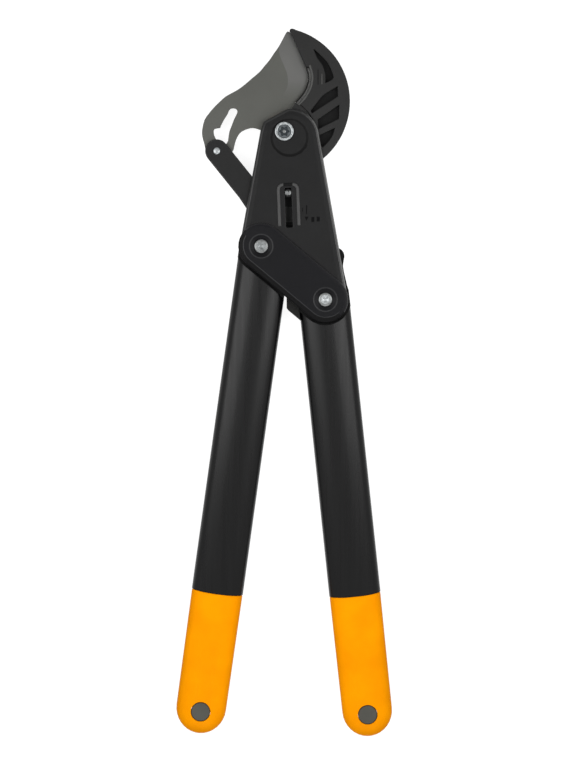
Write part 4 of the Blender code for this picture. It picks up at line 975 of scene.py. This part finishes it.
def make_strip(materials):
    """The anvil's strip, with a sloping shoulder towards the blade, filling its seat. The shoulder is painted
    darker, as painted shade beside the blade.
    """
    working = bmesh.new()
    rings = [[working.verts.new(corner) for corner in ring] for ring in strip_rings()]
    for first, second in zip(rings, rings[1:]):
        for k in range(len(first)):
            after = (k + 1) % len(first)
            corners = []
            for vertex in (first[k], first[after], second[after], second[k]):
                if all((vertex.co - other.co).length > WELD for other in corners):
                    corners.append(vertex)
            if len(corners) > 2:
                working.faces.new(corners)
    working.faces.new(rings[0])
    working.faces.new(rings[-1])
    bmesh.ops.remove_doubles(working, verts=working.verts, dist=WELD)
    bmesh.ops.recalc_face_normals(working, faces=working.faces)
    paint(working, on_shoulder)
    round_edges(working, sharp_edges(working), "strip")
    piece_from(working, "anvil_strip", materials)


def dress_slider(materials):
    """The slider's head has a notch in its upper edge. Its foot is painted dark, as painted shade under the
    housing's face.
    """
    working = welded_copy("slider")
    # Painted shade: the foot under the housing's face is painted dark.
    paint(working, below_face)
    round_edges(working, sharp_edges(working), "slider")
    item = object_from(working, "shown_slider", materials)
    notch = extruded(SLIDER_NOTCH, SLIDER_TOP - NOTCH_DEPTH, SLIDER_TOP + CUT_ABOVE)
    combine(item, notch, "DIFFERENCE", SECOND_SLOT)
    finish_piece(item, "slider")


# Inserts, tubes and bumper

def tube_place(tube, x, y):
    """How far a point lies across the tube's middle line and down from its pivot, and the way across."""
    pivot, angle, shift = tube
    turn = math.radians(angle)
    across = (math.cos(turn), -math.sin(turn))
    side = (x - pivot[0]) * across[0] + (y - pivot[1]) * across[1] - shift
    down = (x - pivot[0]) * across[1] - (y - pivot[1]) * across[0]
    return side, down, across


def dress_insert(node, tube, materials, chosen=None):
    """The insert's collar is as wide as its tube. Faces that the test chooses get the second material."""
    working = welded_copy(node)
    for vertex in working.verts:
        x, y, _ = in_tool(vertex.co)
        side, down, across = tube_place(tube, x, y)
        if down > COLLAR_TOP and COLLAR_INSIDE < abs(side) < COLLAR_SIDE + TOUCH:
            part = (abs(side) - COLLAR_INSIDE) / (COLLAR_SIDE - COLLAR_INSIDE)
            move(vertex, across, math.copysign(COLLAR_REACH * part, side))
    working.normal_update()
    if chosen:
        paint(working, chosen)
    round_edges(working, sharp_edges(working), "insert")
    piece_from(working, node, materials)


def dress_tube(node, materials):
    """The tube's mouth reaches up to the insert's collar."""
    working = welded_copy(node)
    for vertex in working.verts:
        x, y, _ = in_tool(vertex.co)
        if pivot_line_near(x, y)[1] < MOUTH_RADIUS + TOUCH:
            move_inwards(vertex, MOUTH_REACH)
    working.normal_update()
    round_edges(working, sharp_edges(working), "tube")
    piece_from(working, node, materials)


def dress_bumper(materials):
    """The bumper's back is pressed against the right tube and its insert."""
    working = welded_copy("stop_bumper")
    back, _, across = tube_place(RIGHT_TUBE, *BUMPER_BACK)
    for vertex in working.verts:
        x, y, _ = in_tool(vertex.co)
        if abs(tube_place(RIGHT_TUBE, x, y)[0] - back) < 2 * TOUCH:
            move(vertex, across, BUMPER_REACH)
    working.normal_update()
    round_edges(working, sharp_edges(working), "bumper")
    piece_from(working, "stop_bumper", materials)


# Turned pieces, with more shape than their CAD nodes

def turned_piece(node, centre, rings, materials):
    """A solid of revolution about a z axis. Each ring is a radius, or a radius by angle, and a height."""
    points = []
    for radius, height in rings:
        for k in range(TURN_POINTS):
            angle = math.tau * k / TURN_POINTS
            reach = radius(angle) if callable(radius) else radius
            x = centre[0] + reach * math.cos(angle)
            y = centre[1] + reach * math.sin(angle)
            points.append(place(x, y, height))
    last = len(points) - TURN_POINTS
    faces = []
    for low in range(0, last, TURN_POINTS):
        high = low + TURN_POINTS
        for k in range(TURN_POINTS):
            after = (k + 1) % TURN_POINTS
            faces.append((low + k, low + after, high + after, high + k))
    faces.append(tuple(range(TURN_POINTS)))
    faces.append(tuple(range(last, len(points))))
    mesh = bpy.data.meshes.new("turned")
    mesh.from_pydata(points, [], faces)
    working = bmesh.new()
    working.from_mesh(mesh)
    bmesh.ops.recalc_face_normals(working, faces=working.faces)
    bpy.data.meshes.remove(mesh)
    return piece_from(working, node, materials)


def lobed(radius):
    """The radius of the lobed socket by angle."""
    return lambda angle: radius + SOCKET_LOBE * math.cos(SOCKET_LOBES * angle)


def make_main_bolt(materials):
    """A wide head with a lobed socket, and a pin in the socket's middle. The socket is painted darker, and
    darkest deep down, as painted shade.
    """
    socket = tuple((lobed(radius), height) for radius, height in SOCKET_RINGS)
    item = turned_piece("main_bolt", (0.0, 0.0), MAIN_BOLT_RINGS + socket + SOCKET_PIN_RINGS, materials)
    for face in item.data.polygons:
        x, y, z = in_tool(face.center)
        reach = math.hypot(x, y)
        if z < 0 or reach > SOCKET_DISC:
            continue
        if reach < STAR_PIN:
            finish = "pin"
        elif z < STAR_TOP:
            finish = "star"
        else:
            finish = "socket"
        face.material_index = BOLT_SLOTS[finish]


def make_side_bolt(node, centre, materials):
    """A crowned head with a shallow dimple, painted darker outside its crown as painted shade."""
    item = turned_piece(node, centre, SIDE_BOLT_RINGS, materials)
    for face in item.data.polygons:
        x, y, _ = in_tool(face.center)
        # Painted shade outside the crown.
        if reach_from(centre, x, y) > HEAD_CROWN:
            face.material_index = SECOND_SLOT


def make_arm_pin(materials):
    """A pin with the same domed head at both ends."""
    lower = tuple((radius, -height) for radius, height in reversed(ARM_PIN_RINGS))
    turned_piece("push_arm_pin", ARM_PIN, lower + ARM_PIN_RINGS, materials)


# Floor, light and camera

def seen_directly(tree):
    """One for camera, glossy and transmission rays, and nothing for the others."""
    path = tree.nodes.new("ShaderNodeLightPath")
    seen = path.outputs["Is Camera Ray"]
    for kind in ("Is Glossy Ray", "Is Transmission Ray"):
        node = tree.nodes.new("ShaderNodeMath")
        node.operation = "MAXIMUM"
        tree.links.new(seen, node.inputs[0])
        tree.links.new(path.outputs[kind], node.inputs[1])
        seen = node.outputs[0]
    return seen


def floor_material():
    """A pale diffuse floor with a glow where it is seen directly."""
    material = bpy.data.materials.new("floor_white")
    material.use_nodes = True
    tree = material.node_tree
    tree.nodes.clear()
    output = tree.nodes.new("ShaderNodeOutputMaterial")
    diffuse = tree.nodes.new("ShaderNodeBsdfDiffuse")
    diffuse.inputs["Color"].default_value = (*FLOOR_COLOUR, 1.0)
    glow = tree.nodes.new("ShaderNodeEmission")
    strength = spread(tree, seen_directly(tree), 0.0, FLOOR_GLOW, WHOLE_RANGE)
    tree.links.new(strength, glow.inputs["Strength"])
    both = tree.nodes.new("ShaderNodeAddShader")
    tree.links.new(diffuse.outputs[0], both.inputs[0])
    tree.links.new(glow.outputs[0], both.inputs[1])
    tree.links.new(both.outputs[0], output.inputs["Surface"])
    return material


def make_floor():
    mesh = bpy.data.meshes.new("floor")
    low, high = -FLOOR_HALF, FLOOR_HALF
    corners = [(low, low), (high, low), (high, high), (low, high)]
    mesh.from_pydata([(x, y, -FLOOR_DROP) for x, y in corners], [], [(0, 1, 2, 3)])
    floor = bpy.data.objects.new("floor", mesh)
    bpy.context.scene.collection.objects.link(floor)
    mesh.materials.append(floor_material())


def make_world():
    world = bpy.data.worlds.new("studio")
    world.use_nodes = True
    tree = world.node_tree
    background = tree.nodes["Background"]
    background.inputs["Color"].default_value = (1.0, 1.0, 1.0, 1.0)
    strength = spread(tree, seen_directly(tree), WORLD_FILL, WORLD_SHOWN, WHOLE_RANGE)
    tree.links.new(strength, background.inputs["Strength"])
    bpy.context.scene.world = world


def add_lamp(name, location, target, size, level):
    """A soft box. The level is the radiance of its surface."""
    data = bpy.data.lights.new(name, "AREA")
    data.shape = "RECTANGLE"
    data.size = size[0]
    data.size_y = size[1]
    data.energy = level * math.pi * size[0] * size[1]
    lamp = bpy.data.objects.new(name, data)
    bpy.context.scene.collection.objects.link(lamp)
    lamp.location = location
    lamp.rotation_mode = "QUATERNION"
    lamp.rotation_quaternion = (Vector(target) - Vector(location)).to_track_quat("-Z", "Y")


def make_camera():
    """Straight above the tool, with the lens that makes a pixel as wide as the scale says."""
    data = bpy.data.cameras.new("camera")
    camera = bpy.data.objects.new("camera", data)
    bpy.context.scene.collection.objects.link(camera)
    x = (IMAGE[0] / 2 - PIVOT_PIXEL[0]) * MM_PER_PIXEL
    y = (PIVOT_PIXEL[1] - IMAGE[1] / 2) * MM_PER_PIXEL
    target = place(x, y)
    target.z = VIEW_HEIGHT * MM
    camera.location = target + Vector((0.0, 0.0, CAMERA_DISTANCE))
    data.sensor_width = SENSOR
    data.lens = SENSOR * CAMERA_DISTANCE / (IMAGE[1] * MM_PER_PIXEL * MM)
    data.clip_start, data.clip_end = CAMERA_RANGE
    bpy.context.scene.camera = camera


# Making everything, in order

def make_pieces(materials):
    """One piece for each node that doesn't keep its CAD shape."""
    housing = [materials[name] for name in HOUSING_FINISHES]
    link = [materials[name] for name in LINK_FINISHES]
    dress_housing("front_housing", housing, MARKS, ())
    dress_housing("rear_housing", housing, (), (INNER_PAD,))
    for node in ("front_link_plate", "rear_link_plate"):
        dress_link_plate(node, link)
    dress_anvil([materials[name] for name in ANVIL_FINISHES])
    make_strip([materials["edge_steel"], materials["shoulder"]])
    dress_blade([materials["blade"], materials["bevel"]])
    make_main_bolt([materials[name] for name in BOLT_FINISHES])
    make_side_bolt("left_pivot_bolt", LEFT_PIVOT, [materials["dull_head"], materials["pin"]])
    make_side_bolt("right_bolt", RIGHT_PIVOT, [materials["head"], materials["pin"]])
    make_arm_pin([materials["head"]])
    dress_slider([materials["pin"], materials["arm"]])
    for node in ("main_nut", "left_pivot_nut", "right_nut"):
        dress(node, [materials["head"]], "nut")
    # The arms' rounded edges are painted lighter as a painted highlight.
    for node in ("front_push_arm", "rear_push_arm"):
        dress(node, [materials["arm"], materials["arm_edge"]], "arm", SECOND_SLOT)
    # The hook's top is painted lighter, as painted light in the slot.
    dress_insert("left_insert", LEFT_TUBE, [materials["insert"], materials["hook"]], on_hook)
    dress_insert("right_insert", RIGHT_TUBE, [materials["insert"]])
    dress_bumper([materials["rubber"]])
    for node in ("left_tube", "right_tube"):
        dress_tube(node, [materials["tube"]])
    for node in ("left_grip", "right_grip"):
        dress(node, [materials["grip"]], "grip")
    for node in ("left_grip_plug", "right_grip_plug"):
        dress(node, [materials["plug"]], "plug")


def finish_plain_nodes(materials):
    for finish, nodes in PLAIN_NODES.items():
        for node in nodes:
            mesh = frame["nodes"][node].data
            mesh.materials.clear()
            mesh.materials.append(materials[finish])


def build():
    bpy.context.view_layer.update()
    bpy.context.scene.view_settings.view_transform = "Standard"
    materials = make_materials()
    make_pieces(materials)
    finish_plain_nodes(materials)
    make_floor()
    make_world()
    for lamp in LAMPS:
        add_lamp(*lamp)
    make_camera()


build()
